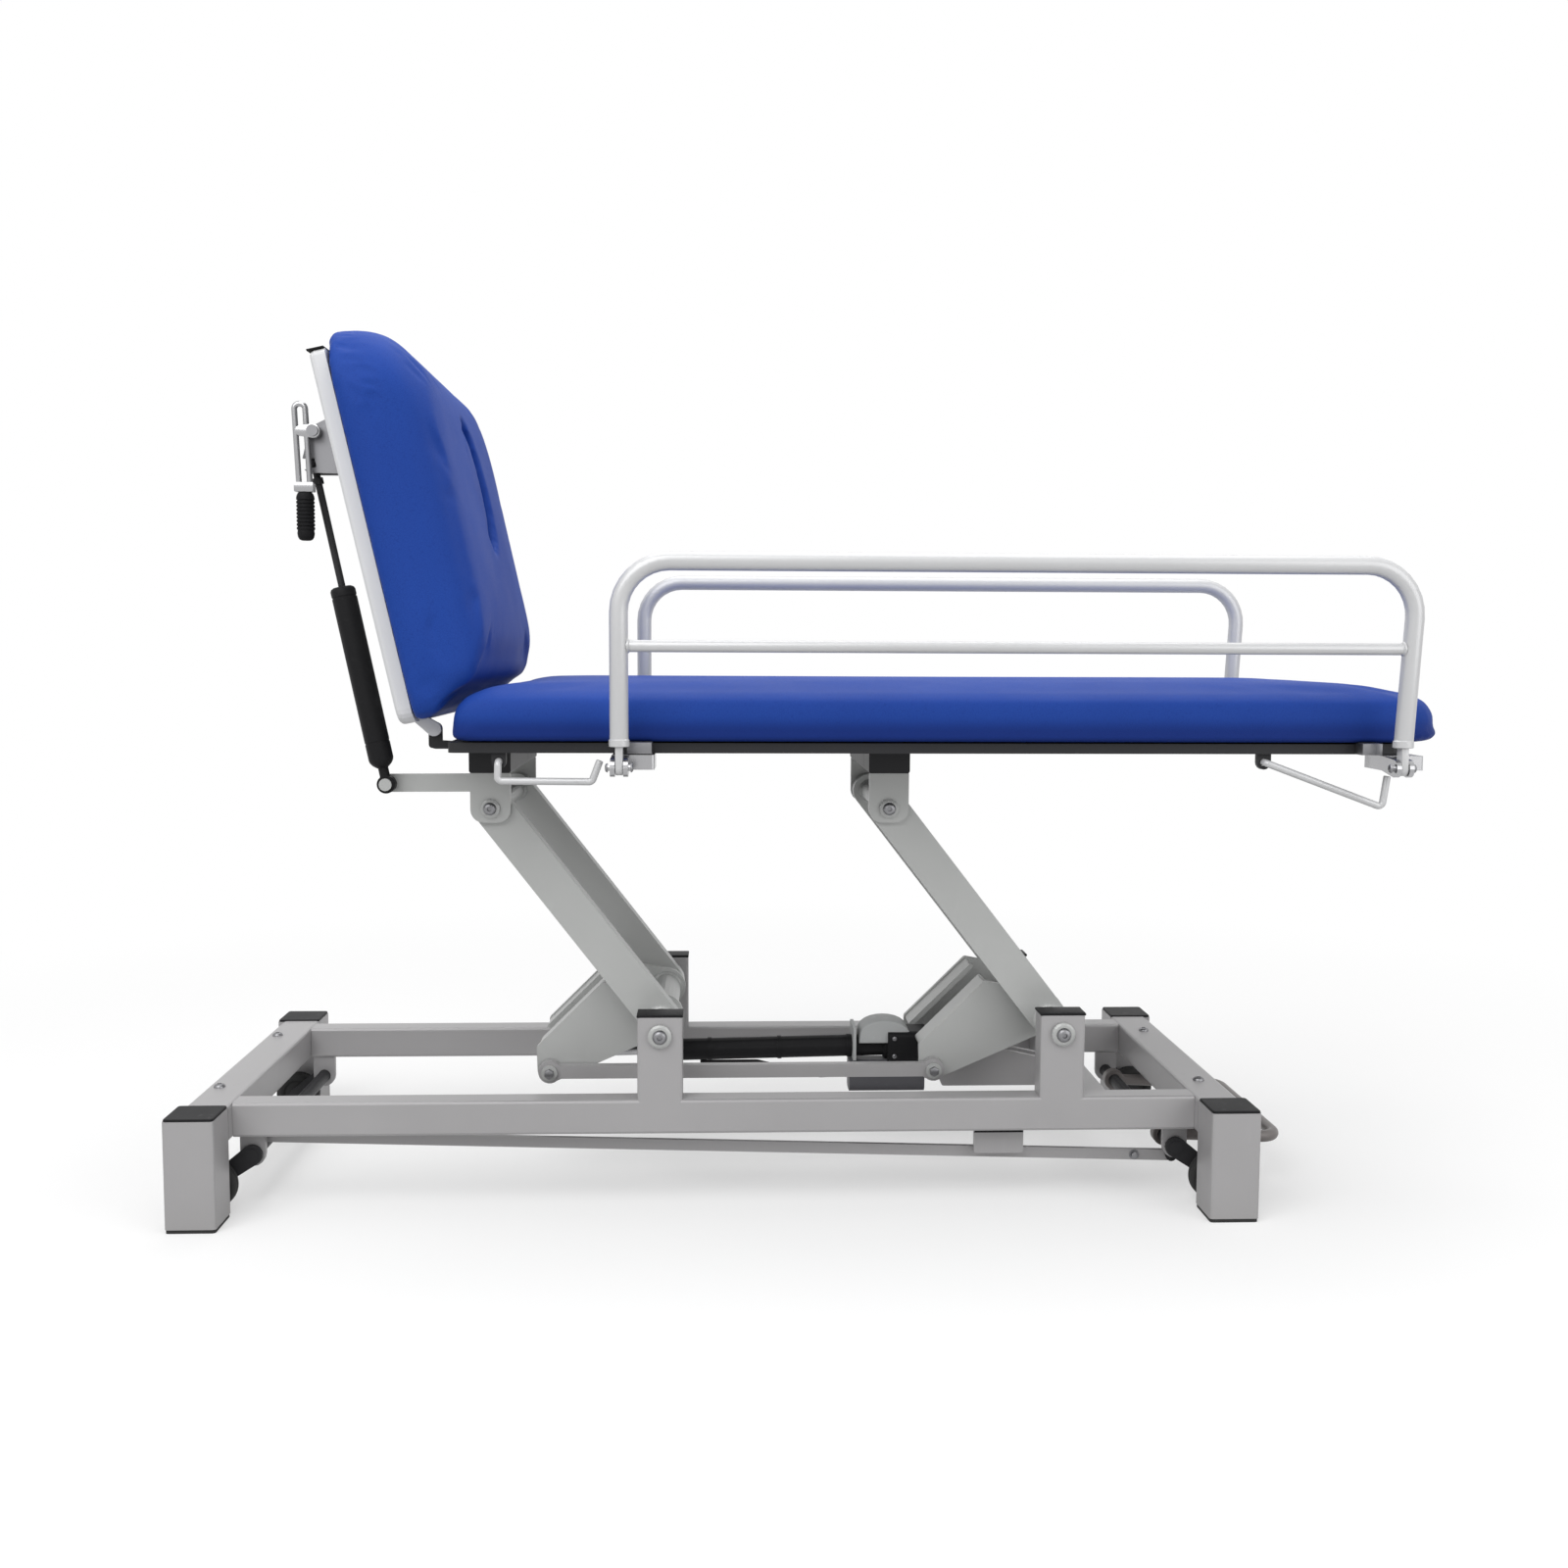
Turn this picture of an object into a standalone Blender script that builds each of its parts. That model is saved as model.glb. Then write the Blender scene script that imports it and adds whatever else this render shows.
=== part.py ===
"""Electric treatment couch: base with retractable castors, parallel-arm lift, two-section top, guard rails.

Metres, +Z up, +X towards the foot end, -Y towards the near side. Every solid is drawn in the frame of the
base, then moved so that its own origin lies on the axis it turns about.
"""

import math

import bmesh
import bpy
from mathutils import Matrix, Vector

for old in list(bpy.data.objects):
    bpy.data.objects.remove(old)

# Clearances
GAP = 0.0003  # between pieces fixed to each other
RUN = 0.0005  # between a pin and the bore it turns in
THROUGH = 0.010  # how far a cutter runs past the faces it opens

# Base
BASE_LENGTH = 1.520
BASE_WIDTH = 0.650
POST = 0.070
FOOT_HEIGHT = 0.005
POST_TOP = 0.1565
CAP_TOP = 0.160
CAP_INSET = 0.001
CAP_EDGE = 0.0015
BEAM_WIDTH = 0.060
RAIL_LOW = 0.108
RAIL_HIGH = 0.158
RAIL_INSET = 0.085
RAIL_WIDTH = 0.040
RAIL_OUT = BASE_WIDTH / 2 - RAIL_INSET
RAIL_IN = RAIL_OUT - RAIL_WIDTH
STUB_WIDTH = 0.065
STUB_TOP = 0.280
EDGE = 0.004
GUIDE_X = (0.373, 0.446)
GUIDE_LOW = 0.066
GUIDE_SET = (0.004, 0.010)

# Lift linkage, seen from the near side
HEAD_X = -0.085
FOOT_X = 0.495
PIVOT_Z = 0.251
ARM_RUN = -0.247
ARM_RISE = 0.319
ARM_IN = 0.125
ARM_OUT = 0.155
ARM_HALF = 0.0275
TUBE_R = 0.022
TUBE_JOURNAL = 0.011
TUBE_HEAD = 0.017
SHAFT_R = 0.015
SHAFT_JOURNAL = 0.010
SHAFT_HEAD = 0.014
CRANK_IN = 0.092
CRANK_OUT = 0.100
CRANK_WEB = 0.040
CRANK_EDGE = 0.006
CRANK_BOSS = 0.030
CRANK_PIN = (-0.170, -0.085)
CRANK_TOP = (-0.090, 0.042)
CRANK_HEEL = (-0.185, -0.052)
PIN_R = 0.008
TIE_IN = 0.1035
TIE_OUT = 0.1175
TIE_HALF = 0.010

# Actuator between the cross member and the head bell crank
REAR_PIVOT = (0.345, 0.178)
EAR_IN = 0.0125
EAR_OUT = 0.0205
MOUNT_X = (0.535, 0.575)
MOUNT_Z = (0.112, 0.152)
EYE_R = 0.013
BARREL_R = 0.017
BARREL_BORE = 0.0135
BARREL_FRONT = 0.465
BARREL_BACK = 0.075
BORE_END = 0.100
ROD_R = 0.007
ROD_INNER = 0.300
GEARBOX_FRONT = 0.080
GEARBOX_BACK = 0.017
GEARBOX_HALF = 0.032
GEARBOX_LOW = 0.155
GEARBOX_HIGH = 0.203
MOTOR_X = (0.205, 0.324)
MOTOR_LOW = 0.105
MOTOR_HALF = 0.024
LEAD_R = 0.003

# Seat
BOARD_X = (-0.370, 0.984)
BOARD_LOW = 0.660
BOARD_HIGH = 0.674
BOARD_HALF = 0.305
CROSS_HALF = 0.030
CROSS_HEIGHT = 0.038
CROSS_REACH = 0.167
BRACKET_IN = 0.157
BRACKET_OUT = 0.165
BRACKET_HALF = 0.029
BRACKET_DROP = 0.021
BRACKET_ROUND = 0.019
SEAT_X = (-0.372, 1.026)
SEAT_SIDE = 0.073
PAD_HALF = 0.325
SEAT_CORNER = 0.100
SEAT_HEAD_EDGE = 0.045
SEAT_FOOT_EDGE = 0.040

# Backrest, raised; s runs up the panel from the hinge, t out of its front
HINGE = (-0.395, 0.690)
RAISED = math.radians(77.4)
PANEL_S = (0.015, 0.525)
PANEL_T = (-0.038, -0.0163)
PANEL_HALF = 0.300
PANEL_CORNERS = (0.020, 0.008)
BACK_S = (0.0125, 0.560)
BACK_T = (-0.016, 0.097)
BACK_CORNERS = (0.030, 0.100)
# Rows of the back pad: height t, then how far the bottom, the sides and the top are drawn in
BACK_ROWS = (
    (-0.0160, 0.0040, 0.0040, 0.0040),
    (-0.0070, 0.0005, 0.0010, 0.0010),
    (0.0080, 0.0000, 0.0000, 0.0000),
    (0.0200, 0.0025, 0.0000, 0.0000),
    (0.0300, 0.0137, 0.0000, 0.0010),
    (0.0360, 0.0195, 0.0000, 0.0030),
    (0.0485, 0.0265, 0.0012, 0.0080),
    (0.0637, 0.0315, 0.0050, 0.0170),
    (0.0762, 0.0360, 0.0115, 0.0300),
    (0.0859, 0.0520, 0.0200, 0.0480),
    (0.0928, 0.0770, 0.0310, 0.0700),
    (0.0970, 0.1060, 0.0460, 0.0920),
    (0.1010, 0.1400, 0.0900, 0.1200),
    (0.1035, 0.1800, 0.1500, 0.1650),
    (0.1050, 0.2275, 0.2100, 0.2150),
)
PLUG_S = 0.342
PLUG_LONG = 0.100
PLUG_WIDE = 0.060
PLUG_DEPTH = 0.030
HINGE_LUG = (0.240, 0.250)
HINGE_TONGUE = (0.2505, 0.2605)
HINGE_PIN = 0.005
HINGE_BOSS = 0.010

# Gas strut and its release lever
STRUT_Y = 0.185
STRUT_LOW = (-0.476, 0.607)
STRUT_HIGH = (-0.569, 1.057)
STRUT_R = 0.0175
STRUT_BORE = 0.0055
STRUT_TOP = 0.286
STRUT_ROD = 0.005
STRUT_INNER = 0.190
STRUT_EYE = 0.008
STRUT_PIN = 0.0045
STRUT_STUD = 0.0055
STRUT_MOUTH = 0.0105  # the pin leaves its slot on a slant
LEVER_PIVOT = (-0.562, 1.100)
LEVER_Y = 0.215
LEVER_R = 0.004

# Guard rails
GUARD_OUT = 0.065
GUARD_Y = BOARD_HALF + GUARD_OUT
GUARD_R = 0.0125
GUARD_HEAD_X = -0.133
GUARD_FOOT_X = 0.934
GUARD_LEAN = 0.013
GUARD_TOP = 0.917
GUARD_BEND = 0.067
GUARD_MID = 0.8057
GUARD_MID_R = 0.008
GUARD_LOW = 0.674
GUARD_PIVOT = 0.645
TONGUE_HALF = 0.005
BAIL_HEAD = (-0.301, 0.648)
BAIL_FOOT = (0.756, 0.648)
BAIL_R = 0.005
BAIL_BOSS = 0.010
BAIL_HEAD_LINE = ((-0.001, -0.026), (0.127, -0.027), (0.138, 0.002))
BAIL_FOOT_LINE = ((0.166, -0.062), (0.172, -0.018))
BAIL_BEND = 0.006
BAIL_LUG = (0.006 - BOARD_HALF, 0.014 - BOARD_HALF)
BAIL_Y = -0.001 - BOARD_HALF

# Castors
SHAFT_INSET = 0.090
SHAFT_X = BASE_LENGTH / 2 - SHAFT_INSET
SHAFT_Z = 0.0755
CASTOR_SHAFT = 0.010
LUG_R = 0.018
LUG_Y = (RAIL_IN + 0.005, RAIL_IN + 0.013)
SWING_Y = (RAIL_IN + 0.015, RAIL_IN + 0.021)
AXLE_INSET = 0.038
AXLE_X = BASE_LENGTH / 2 - AXLE_INSET
AXLE_Z = 0.038
AXLE_R = 0.005
WHEEL_R = 0.0355
WHEEL_Y = (RAIL_IN + 0.0235, RAIL_IN + 0.0455)
CRANK_THROW = 0.020
THROW_PIN = 0.004
LINK_HALF = 0.008
LINK_PLAY = 0.001  # the link is not quite parallel as the castors turn
LINK_Y = (0.0055 - RAIL_IN, 0.0125 - RAIL_IN)
PEDAL_R = 0.009
PEDAL_Y = 0.150
PEDAL_REACH = 0.0875
PEDAL_X = BASE_LENGTH / 2 + PEDAL_REACH
PEDAL_Z = 0.068

# The origin of the whole couch is the middle of its outline, on the floor
ORIGIN_X = (SEAT_X[1] - BASE_LENGTH / 2) / 2

SIDES = (("near", -1), ("far", 1))
ENDS = (("head", HEAD_X), ("foot", FOOT_X))

UP = Vector((-math.cos(RAISED), math.sin(RAISED)))
OUT = Vector((math.sin(RAISED), math.cos(RAISED)))

PAINTS = {
    "arm_grey": ((0.45, 0.46, 0.45), 0.35, 0.45),
    "base_grey": ((0.38, 0.37, 0.38), 0.35, 0.45),
    "frame_black": ((0.015, 0.015, 0.017), 0.0, 0.45),
    "panel_grey": ((0.50, 0.51, 0.52), 0.0, 0.50),
    "rail_silver": ((0.58, 0.60, 0.62), 0.60, 0.35),
    "bright_steel": ((0.65, 0.65, 0.66), 1.0, 0.22),
    "black_plastic": ((0.018, 0.018, 0.020), 0.0, 0.55),
    "motor_grey": ((0.25, 0.25, 0.26), 0.0, 0.50),
    "foot_rubber": ((0.020, 0.020, 0.020), 0.0, 0.85),
    "blue_vinyl": ((0.016, 0.051, 0.314), 0.0, 0.42),
}

root = bpy.data.objects.new("couch", None)
root.location = (-ORIGIN_X, 0.0, 0.0)
bpy.context.scene.collection.objects.link(root)
materials = {}
helpers = {}


def span(sign, low, high):
    """The range low to high on the side named by sign."""
    return (low, high) if sign > 0 else (-high, -low)


def material(name):
    """Principled material of a finish, made once."""
    if name not in materials:
        colour, metallic, roughness = PAINTS[name]
        made = bpy.data.materials.new(name)
        made.use_nodes = True
        shader = made.node_tree.nodes["Principled BSDF"]
        shader.inputs["Base Color"].default_value = (*colour, 1.0)
        shader.inputs["Metallic"].default_value = metallic
        shader.inputs["Roughness"].default_value = roughness
        materials[name] = made
    return materials[name]


def loft(rings):
    """Closed solid through rings of equally many points, capped at both ends."""
    shape = bmesh.new()
    rows = [[shape.verts.new(point) for point in ring] for ring in rings]
    count = len(rows[0])
    for lower, upper in zip(rows, rows[1:]):
        for i in range(count):
            j = (i + 1) % count
            shape.faces.new((lower[i], lower[j], upper[j], upper[i]))
    shape.faces.new(rows[0][::-1])
    shape.faces.new(rows[-1])
    bmesh.ops.recalc_face_normals(shape, faces=shape.faces)
    return shape


def rounded(corners, steps=3):
    """Outline through corners (a, b, radius), each turned by an arc."""
    outline = []
    for i, (a, b, radius) in enumerate(corners):
        here = Vector((a, b))
        if radius <= 0:
            outline.append(here)
            continue
        before = (Vector(corners[i - 1][:2]) - here).normalized()
        after = (Vector(corners[(i + 1) % len(corners)][:2]) - here).normalized()
        half = math.acos(max(-1.0, min(1.0, before.dot(after)))) / 2
        centre = here + (before + after).normalized() * radius / math.sin(half)
        first = here + before * radius / math.tan(half) - centre
        last = here + after * radius / math.tan(half) - centre
        sweep = math.atan2(first.x * last.y - first.y * last.x, first.dot(last))
        for k in range(steps + 1):
            turn = Matrix.Rotation(sweep * k / steps, 2)
            outline.append(centre + turn @ first)
    return outline


def hull(discs, steps=16):
    """Convex outline round discs (a, b, radius); radius 0 is a point."""
    points = []
    for a, b, radius in discs:
        for k in range(steps if radius > 0 else 1):
            angle = 2 * math.pi * k / steps
            points.append((round(a + radius * math.cos(angle), 7), round(b + radius * math.sin(angle), 7)))
    points = sorted(set(points))
    halves = []
    for row in (points, points[::-1]):
        chain = []
        for p in row:
            while len(chain) > 1:
                (ax, ay), (bx, by) = chain[-2], chain[-1]
                if (bx - ax) * (p[1] - ay) - (by - ay) * (p[0] - ax) > 1e-10:
                    break
                chain.pop()
            chain.append(p)
        halves += chain[:-1]
    return [Vector(p) for p in halves]


def prism(outline, axis, along):
    """Outline drawn across an axis and carried along it: x,z across Y; x,y across Z; y,z across X."""
    def at(point, level):
        a, b = point
        return {"X": (level, a, b), "Y": (a, level, b), "Z": (a, b, level)}[axis]

    return loft([[at(point, level) for point in outline] for level in along])


def bar(axis, first, second, along, radius=EDGE, steps=2):
    """Straight bar with rounded long edges."""
    corners = [(first[i], second[j], radius) for i, j in ((0, 0), (1, 0), (1, 1), (0, 1))]
    return prism(rounded(corners, steps), axis, along)


def sweep_rings(points, radius, segments):
    """Rings of a round section carried along a line of points without twist."""
    points = [Vector(p) for p in points]
    rings = []
    side = None
    for i, here in enumerate(points):
        ahead = points[min(i + 1, len(points) - 1)]
        behind = points[max(i - 1, 0)]
        way = (ahead - behind).normalized()
        if side is None:
            side = way.orthogonal().normalized()
        side = (side - way * side.dot(way)).normalized()
        other = way.cross(side)
        ring = []
        for k in range(segments):
            angle = 2 * math.pi * k / segments
            ring.append(here + (side * math.cos(angle) + other * math.sin(angle)) * radius)
        rings.append(ring)
    return rings


def bent(points, radius, steps=5):
    """Line through points with its corners turned by arcs."""
    points = [Vector(p) for p in points]
    line = [points[0]]
    for before, here, after in zip(points, points[1:], points[2:]):
        back = (before - here).normalized()
        fore = (after - here).normalized()
        half = back.angle(fore) / 2
        centre = here + (back + fore).normalized() * radius / math.sin(half)
        first = here + back * radius / math.tan(half) - centre
        last = here + fore * radius / math.tan(half) - centre
        turn = first.angle(last)
        axis = first.cross(last).normalized()
        for k in range(steps + 1):
            line.append(centre + Matrix.Rotation(turn * k / steps, 3, axis) @ first)
    line.append(points[-1])
    return line


def rod(start, end, radius, segments=16):
    """Round bar between two points."""
    return loft(sweep_rings((start, end), radius, segments))


def pin(point, radius, along, segments=16):
    """Round bar across the couch at a point x, z."""
    return rod((point[0], along[0], point[1]), (point[0], along[1], point[1]), radius, segments)


def pipe(points, radius, bend, segments=10, steps=5):
    """Round bar bent through points."""
    return loft(sweep_rings(bent(points, bend, steps), radius, segments))


def turned(point, profile, segments=20):
    """Solid of revolution across the couch at x, z, from a profile of y, radius."""
    rings = []
    for y, radius in profile:
        ring = []
        for k in range(segments):
            angle = 2 * math.pi * k / segments
            ring.append((point[0] + radius * math.cos(angle), y, point[1] + radius * math.sin(angle)))
        rings.append(ring)
    return loft(rings)


def both_ways(profile):
    """Profile of y, radius for the far half, with its mirror image before it."""
    return [(-y, radius) for y, radius in profile[::-1]] + profile


def put(name, shape, origin=(0.0, 0.0, 0.0)):
    """Object of a shape drawn in the frame of the base, with its own origin."""
    mesh = bpy.data.meshes.new(name)
    shape.to_mesh(mesh)
    shape.free()
    mesh.transform(Matrix.Translation(-Vector(origin)))
    for face in mesh.polygons:
        face.use_smooth = True
    mesh.set_sharp_from_angle(angle=math.radians(35))
    made = bpy.data.objects.new(name, mesh)
    made.location = origin
    made.parent = root
    bpy.context.scene.collection.objects.link(made)
    return made


def node(name, shape, paint, pivot=None):
    """Named piece; pivot is the x, z or x, y, z of the axis it turns about."""
    if pivot is None:
        pivot = (0.0, 0.0)
    origin = pivot if len(pivot) == 3 else (pivot[0], 0.0, pivot[1])
    made = put(name, shape, origin)
    made.data.materials.append(material(paint))
    return made


def shaped(target, shape, operation):
    """Adds a hidden helper to a piece by a Boolean."""
    helpers[target.name] = helpers.get(target.name, 0) + 1
    helper = put(f"{target.name}_{operation.lower()}_{helpers[target.name]}", shape)
    helper.hide_render = True
    helper.display_type = "WIRE"
    step = target.modifiers.new(helper.name, "BOOLEAN")
    step.operation = operation
    step.solver = "EXACT"
    step.object = helper


def join(target, shape):
    """Fuses a shape to a piece."""
    shaped(target, shape, "UNION")


def cut(target, shape):
    """Takes a shape out of a piece."""
    shaped(target, shape, "DIFFERENCE")


def base():
    """End frames with posts, side rails with stubs and lugs, caps and feet."""
    half = BASE_LENGTH / 2
    inner = half - POST
    side = BASE_WIDTH / 2
    for end, way in (("head", -1), ("foot", 1)):
        reach = side - POST + CAP_INSET - RUN
        beam = bar("Y", span(way, inner, inner + BEAM_WIDTH), (RAIL_LOW, RAIL_HIGH), (-reach, reach))
        frame = node(f"end_frame_{end}", beam, "base_grey")
        for name, sign in SIDES:
            x = span(way, inner, half)
            y = span(sign, side - POST, side)
            join(frame, bar("Z", x, y, (FOOT_HEIGHT + GAP, POST_TOP)))
            cap_x = (x[0] + CAP_INSET, x[1] - CAP_INSET)
            cap_y = (y[0] + CAP_INSET, y[1] - CAP_INSET)
            cap = bar("Z", cap_x, cap_y, (POST_TOP + GAP, CAP_TOP))
            rim = [edge for edge in cap.edges if all(v.co.z > CAP_TOP - GAP for v in edge.verts)]
            bmesh.ops.bevel(cap, geom=rim, offset=CAP_EDGE, segments=2, profile=0.5, affect="EDGES")
            node(f"post_cap_{end}_{name}", cap, "black_plastic")
            foot = bar("Z", cap_x, cap_y, (0.0, FOOT_HEIGHT))
            node(f"post_foot_{end}_{name}", foot, "foot_rubber")
    for name, sign in SIDES:
        y = span(sign, RAIL_IN, RAIL_OUT)
        rail = node(
            f"side_rail_{name}",
            bar("X", y, (RAIL_LOW, RAIL_HIGH), (GAP - inner, inner - GAP)),
            "base_grey",
        )
        for x in (HEAD_X, FOOT_X):
            stub = (x - STUB_WIDTH / 2, x + STUB_WIDTH / 2)
            join(rail, bar("Z", stub, y, (RAIL_HIGH - 2 * EDGE, STUB_TOP)))
        for x in (-SHAFT_X, SHAFT_X):
            root_z = RAIL_LOW + EDGE
            lug = hull([(x, SHAFT_Z, LUG_R), (x - LUG_R, root_z, 0), (x + LUG_R, root_z, 0)])
            join(rail, prism(lug, "Y", span(sign, *LUG_Y)))
        if name == "near":
            set_y = span(sign, RAIL_IN + GUIDE_SET[0], RAIL_IN + GUIDE_SET[1])
            join(rail, bar("Y", GUIDE_X, (GUIDE_LOW, RAIL_LOW + EDGE), set_y, 0.003))
        for x in (HEAD_X, FOOT_X):
            bore = span(sign, RAIL_IN - THROUGH, RAIL_OUT + THROUGH)
            cut(rail, pin((x, PIVOT_Z), TUBE_JOURNAL + RUN, bore, 24))
        for x in (-SHAFT_X, SHAFT_X):
            bore = span(sign, LUG_Y[0] - THROUGH, LUG_Y[1] + THROUGH)
            cut(rail, pin((x, SHAFT_Z), CASTOR_SHAFT + RUN, bore))


def actuator_mount():
    """Cross member between the side rails with two ears to the rear pivot of the actuator."""
    reach = RAIL_IN - GAP
    mount = node("actuator_mount", bar("Y", MOUNT_X, MOUNT_Z, (-reach, reach)), "base_grey")
    x, z = REAR_PIVOT
    ear = hull(
        [
            (x, z, 0.016),
            (x + 0.010, MOUNT_Z[0] + 0.006, 0.004),
            (MOUNT_X[0] + 0.015, MOUNT_Z[0] + 0.006, 0.004),
            (MOUNT_X[0] + 0.015, MOUNT_Z[1] - 0.006, 0.004),
        ]
    )
    for name, sign in SIDES:
        join(mount, prism(ear, "Y", span(sign, EAR_IN, EAR_OUT)))
    join(mount, pin(REAR_PIVOT, PIN_R - RUN, (-EAR_OUT - 0.004, EAR_OUT + 0.004)))


def lift():
    """Torque tubes, arms, top shafts and bell cranks of both ends, and the tie bar between the cranks."""
    eyes = []
    for end, x in ENDS:
        low = (x, PIVOT_Z)
        high = (x + ARM_RUN, PIVOT_Z + ARM_RISE)
        knee = (x + CRANK_PIN[0], PIVOT_Z + CRANK_PIN[1])
        eyes.append(knee)
        inside = RAIL_IN - RUN
        outside = RAIL_OUT + RUN
        half = [(inside, TUBE_R), (inside, TUBE_JOURNAL), (outside, TUBE_JOURNAL), (outside, TUBE_HEAD)]
        half += [(outside + 0.005, TUBE_HEAD), (outside + 0.007, TUBE_HEAD - 0.003)]
        node(f"{end}_torque_tube", turned(low, both_ways(half)), "arm_grey", low)
        inside = BRACKET_IN - RUN
        outside = BRACKET_OUT + RUN
        half = [(inside, SHAFT_R), (inside, SHAFT_JOURNAL)]
        half += [(outside, SHAFT_JOURNAL), (outside, SHAFT_HEAD)]
        half += [(outside + 0.004, SHAFT_HEAD), (outside + 0.006, SHAFT_HEAD - 0.003)]
        node(f"{end}_top_shaft", turned(high, both_ways(half)), "arm_grey", high)
        for name, sign in SIDES:
            outline = hull([(*low, ARM_HALF), (*high, ARM_HALF)], 20)
            bar_shape = prism(outline, "Y", span(sign, ARM_IN, ARM_OUT))
            arm = node(f"{end}_arm_{name}", bar_shape, "arm_grey", low)
            across = span(sign, ARM_IN - THROUGH, ARM_OUT + THROUGH)
            cut(arm, pin(low, TUBE_R + GAP, across, 20))
            cut(arm, pin(high, SHAFT_R + GAP, across, 20))
        discs = [(*low, CRANK_BOSS), (*knee, 0.020)]
        rim = [(x + a, PIVOT_Z + b, CRANK_EDGE) for a, b in (CRANK_TOP, CRANK_HEEL)]
        outline = hull(discs + rim, 24)
        plate = prism(outline, "Y", span(-1, CRANK_IN, CRANK_OUT))
        crank = node(f"{end}_bell_crank", plate, "arm_grey", low)
        join(crank, prism(outline, "Y", span(1, CRANK_IN, CRANK_OUT)))
        web = hull([(a, b, CRANK_EDGE - 0.002) for a, b, radius in rim], 12)
        for name, sign in SIDES:
            join(crank, prism(web, "Y", span(sign, CRANK_WEB, CRANK_IN + 0.001)))
        if end == "head":
            join(crank, pin(knee, PIN_R, (0.001 - CRANK_OUT, CRANK_OUT + 0.003)))
        else:
            join(crank, pin(low, CRANK_BOSS, (0.001 - CRANK_OUT, CRANK_OUT - 0.001), 24))
        stop = TIE_OUT + 2 * RUN
        outer = [(-stop - 0.005, 0.012), (-stop, 0.012), (-stop, PIN_R), (0.002 - CRANK_OUT, PIN_R)]
        join(crank, turned(knee, outer, 16))
        cut(crank, pin(low, TUBE_R + GAP, (-CRANK_OUT - THROUGH, CRANK_OUT + THROUGH), 24))
    head, foot = eyes
    strip = bar("Y", (head[0], foot[0]), (head[1] - TIE_HALF, head[1] + TIE_HALF), (-TIE_OUT, -TIE_IN), 0.0)
    tie = node("tie_bar", strip, "base_grey", foot)
    for eye in eyes:
        join(tie, pin(eye, 0.017, (-TIE_OUT, -TIE_IN), 20))
    for eye in eyes:
        cut(tie, pin(eye, PIN_R + RUN, (-TIE_OUT - THROUGH, THROUGH - TIE_IN)))


def actuator():
    """Barrel with gearbox, motor and its held lead on the mount; rod on the head bell crank."""
    knee = Vector((HEAD_X + CRANK_PIN[0], 0.0, PIVOT_Z + CRANK_PIN[1]))
    rear = Vector((REAR_PIVOT[0], 0.0, REAR_PIVOT[1]))
    way = (knee - rear).normalized()
    case = rod(rear + way * BARREL_BACK, rear + way * BARREL_FRONT, BARREL_R, 20)
    barrel = node("actuator_tube", case, "black_plastic", REAR_PIVOT)
    gearbox = (rear.x - GEARBOX_FRONT, rear.x - GEARBOX_BACK)
    join(barrel, bar("X", (-GEARBOX_HALF, GEARBOX_HALF), (GEARBOX_LOW, GEARBOX_HIGH), gearbox, 0.008, 3))
    root_x = gearbox[1] - 0.004
    eye = hull([(*REAR_PIVOT, EYE_R), (root_x, rear.z + EYE_R, 0), (root_x, rear.z - EYE_R, 0)])
    join(barrel, prism(eye, "Y", (RUN - EAR_IN, EAR_IN - RUN)))
    cut(barrel, rod(rear + way * BORE_END, rear + way * (BARREL_FRONT + THROUGH), BARREL_BORE, 20))
    cut(barrel, pin(REAR_PIVOT, PIN_R, (-EAR_OUT, EAR_OUT)))
    motor = bar("X", (-MOTOR_HALF, MOTOR_HALF), (MOTOR_LOW, GEARBOX_LOW - GAP), MOTOR_X, 0.012, 4)
    node("actuator_motor", motor, "motor_grey", REAR_PIVOT)
    inner = rear + way * ROD_INNER
    stem = node("actuator_rod", rod(knee, inner, ROD_R), "bright_steel", (knee.x, knee.z))
    join(stem, pin((knee.x, knee.z), 0.015, (-0.012, 0.012), 20))
    cut(stem, pin((knee.x, knee.z), PIN_R + RUN, (-0.02, 0.02)))
    clip = rear + way * 0.375
    under = BARREL_R + LEAD_R + GAP
    start = (MOTOR_X[0] - GAP, 0.0, 0.128)
    line = [start, (0.160, 0.0, 0.126), (0.060, 0.0, clip.z - under), (clip.x, 0.0, clip.z - under)]
    node("motor_lead", pipe(line, LEAD_R, 0.020, 8, 4), "black_plastic", REAR_PIVOT)


def on_back(s, t):
    """The x, z of a point s up the raised backrest and t in front of it."""
    return Vector(HINGE) + UP * s + OUT * t


def back_prism(outline, along):
    """Outline in s, t carried across the couch."""
    return prism([on_back(s, t) for s, t in outline], "Y", along)


def cushion_outline(ends, half, radii, inset, steps=(4, 8)):
    """Plan outline of a pad: inset is its start, side and far-end inset; radii round its two ends."""
    start, side, far = inset
    low = ends[0] + start
    high = ends[1] - far
    width = half - side
    near = max(radii[0] - side / 2, 0.004)
    wide = max(radii[1] - side / 2, 0.004)
    at_low = [(low, width), (low, -width)]
    at_high = [(high, -width), (high, width)]
    head = rounded([(*p, near) for p in at_low] + [(*p, 0) for p in at_high], steps[0])[:-2]
    foot = rounded([(*p, 0) for p in at_low] + [(*p, wide) for p in at_high], steps[1])[2:]
    return head + foot


def edge_inset(level, top, radius):
    """How far an edge of this radius has turned in at a level under the top."""
    rise = level - (top - radius)
    if rise <= 0:
        return 0.0
    return radius - math.sqrt(max(radius * radius - rise * rise, 0.0))


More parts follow.
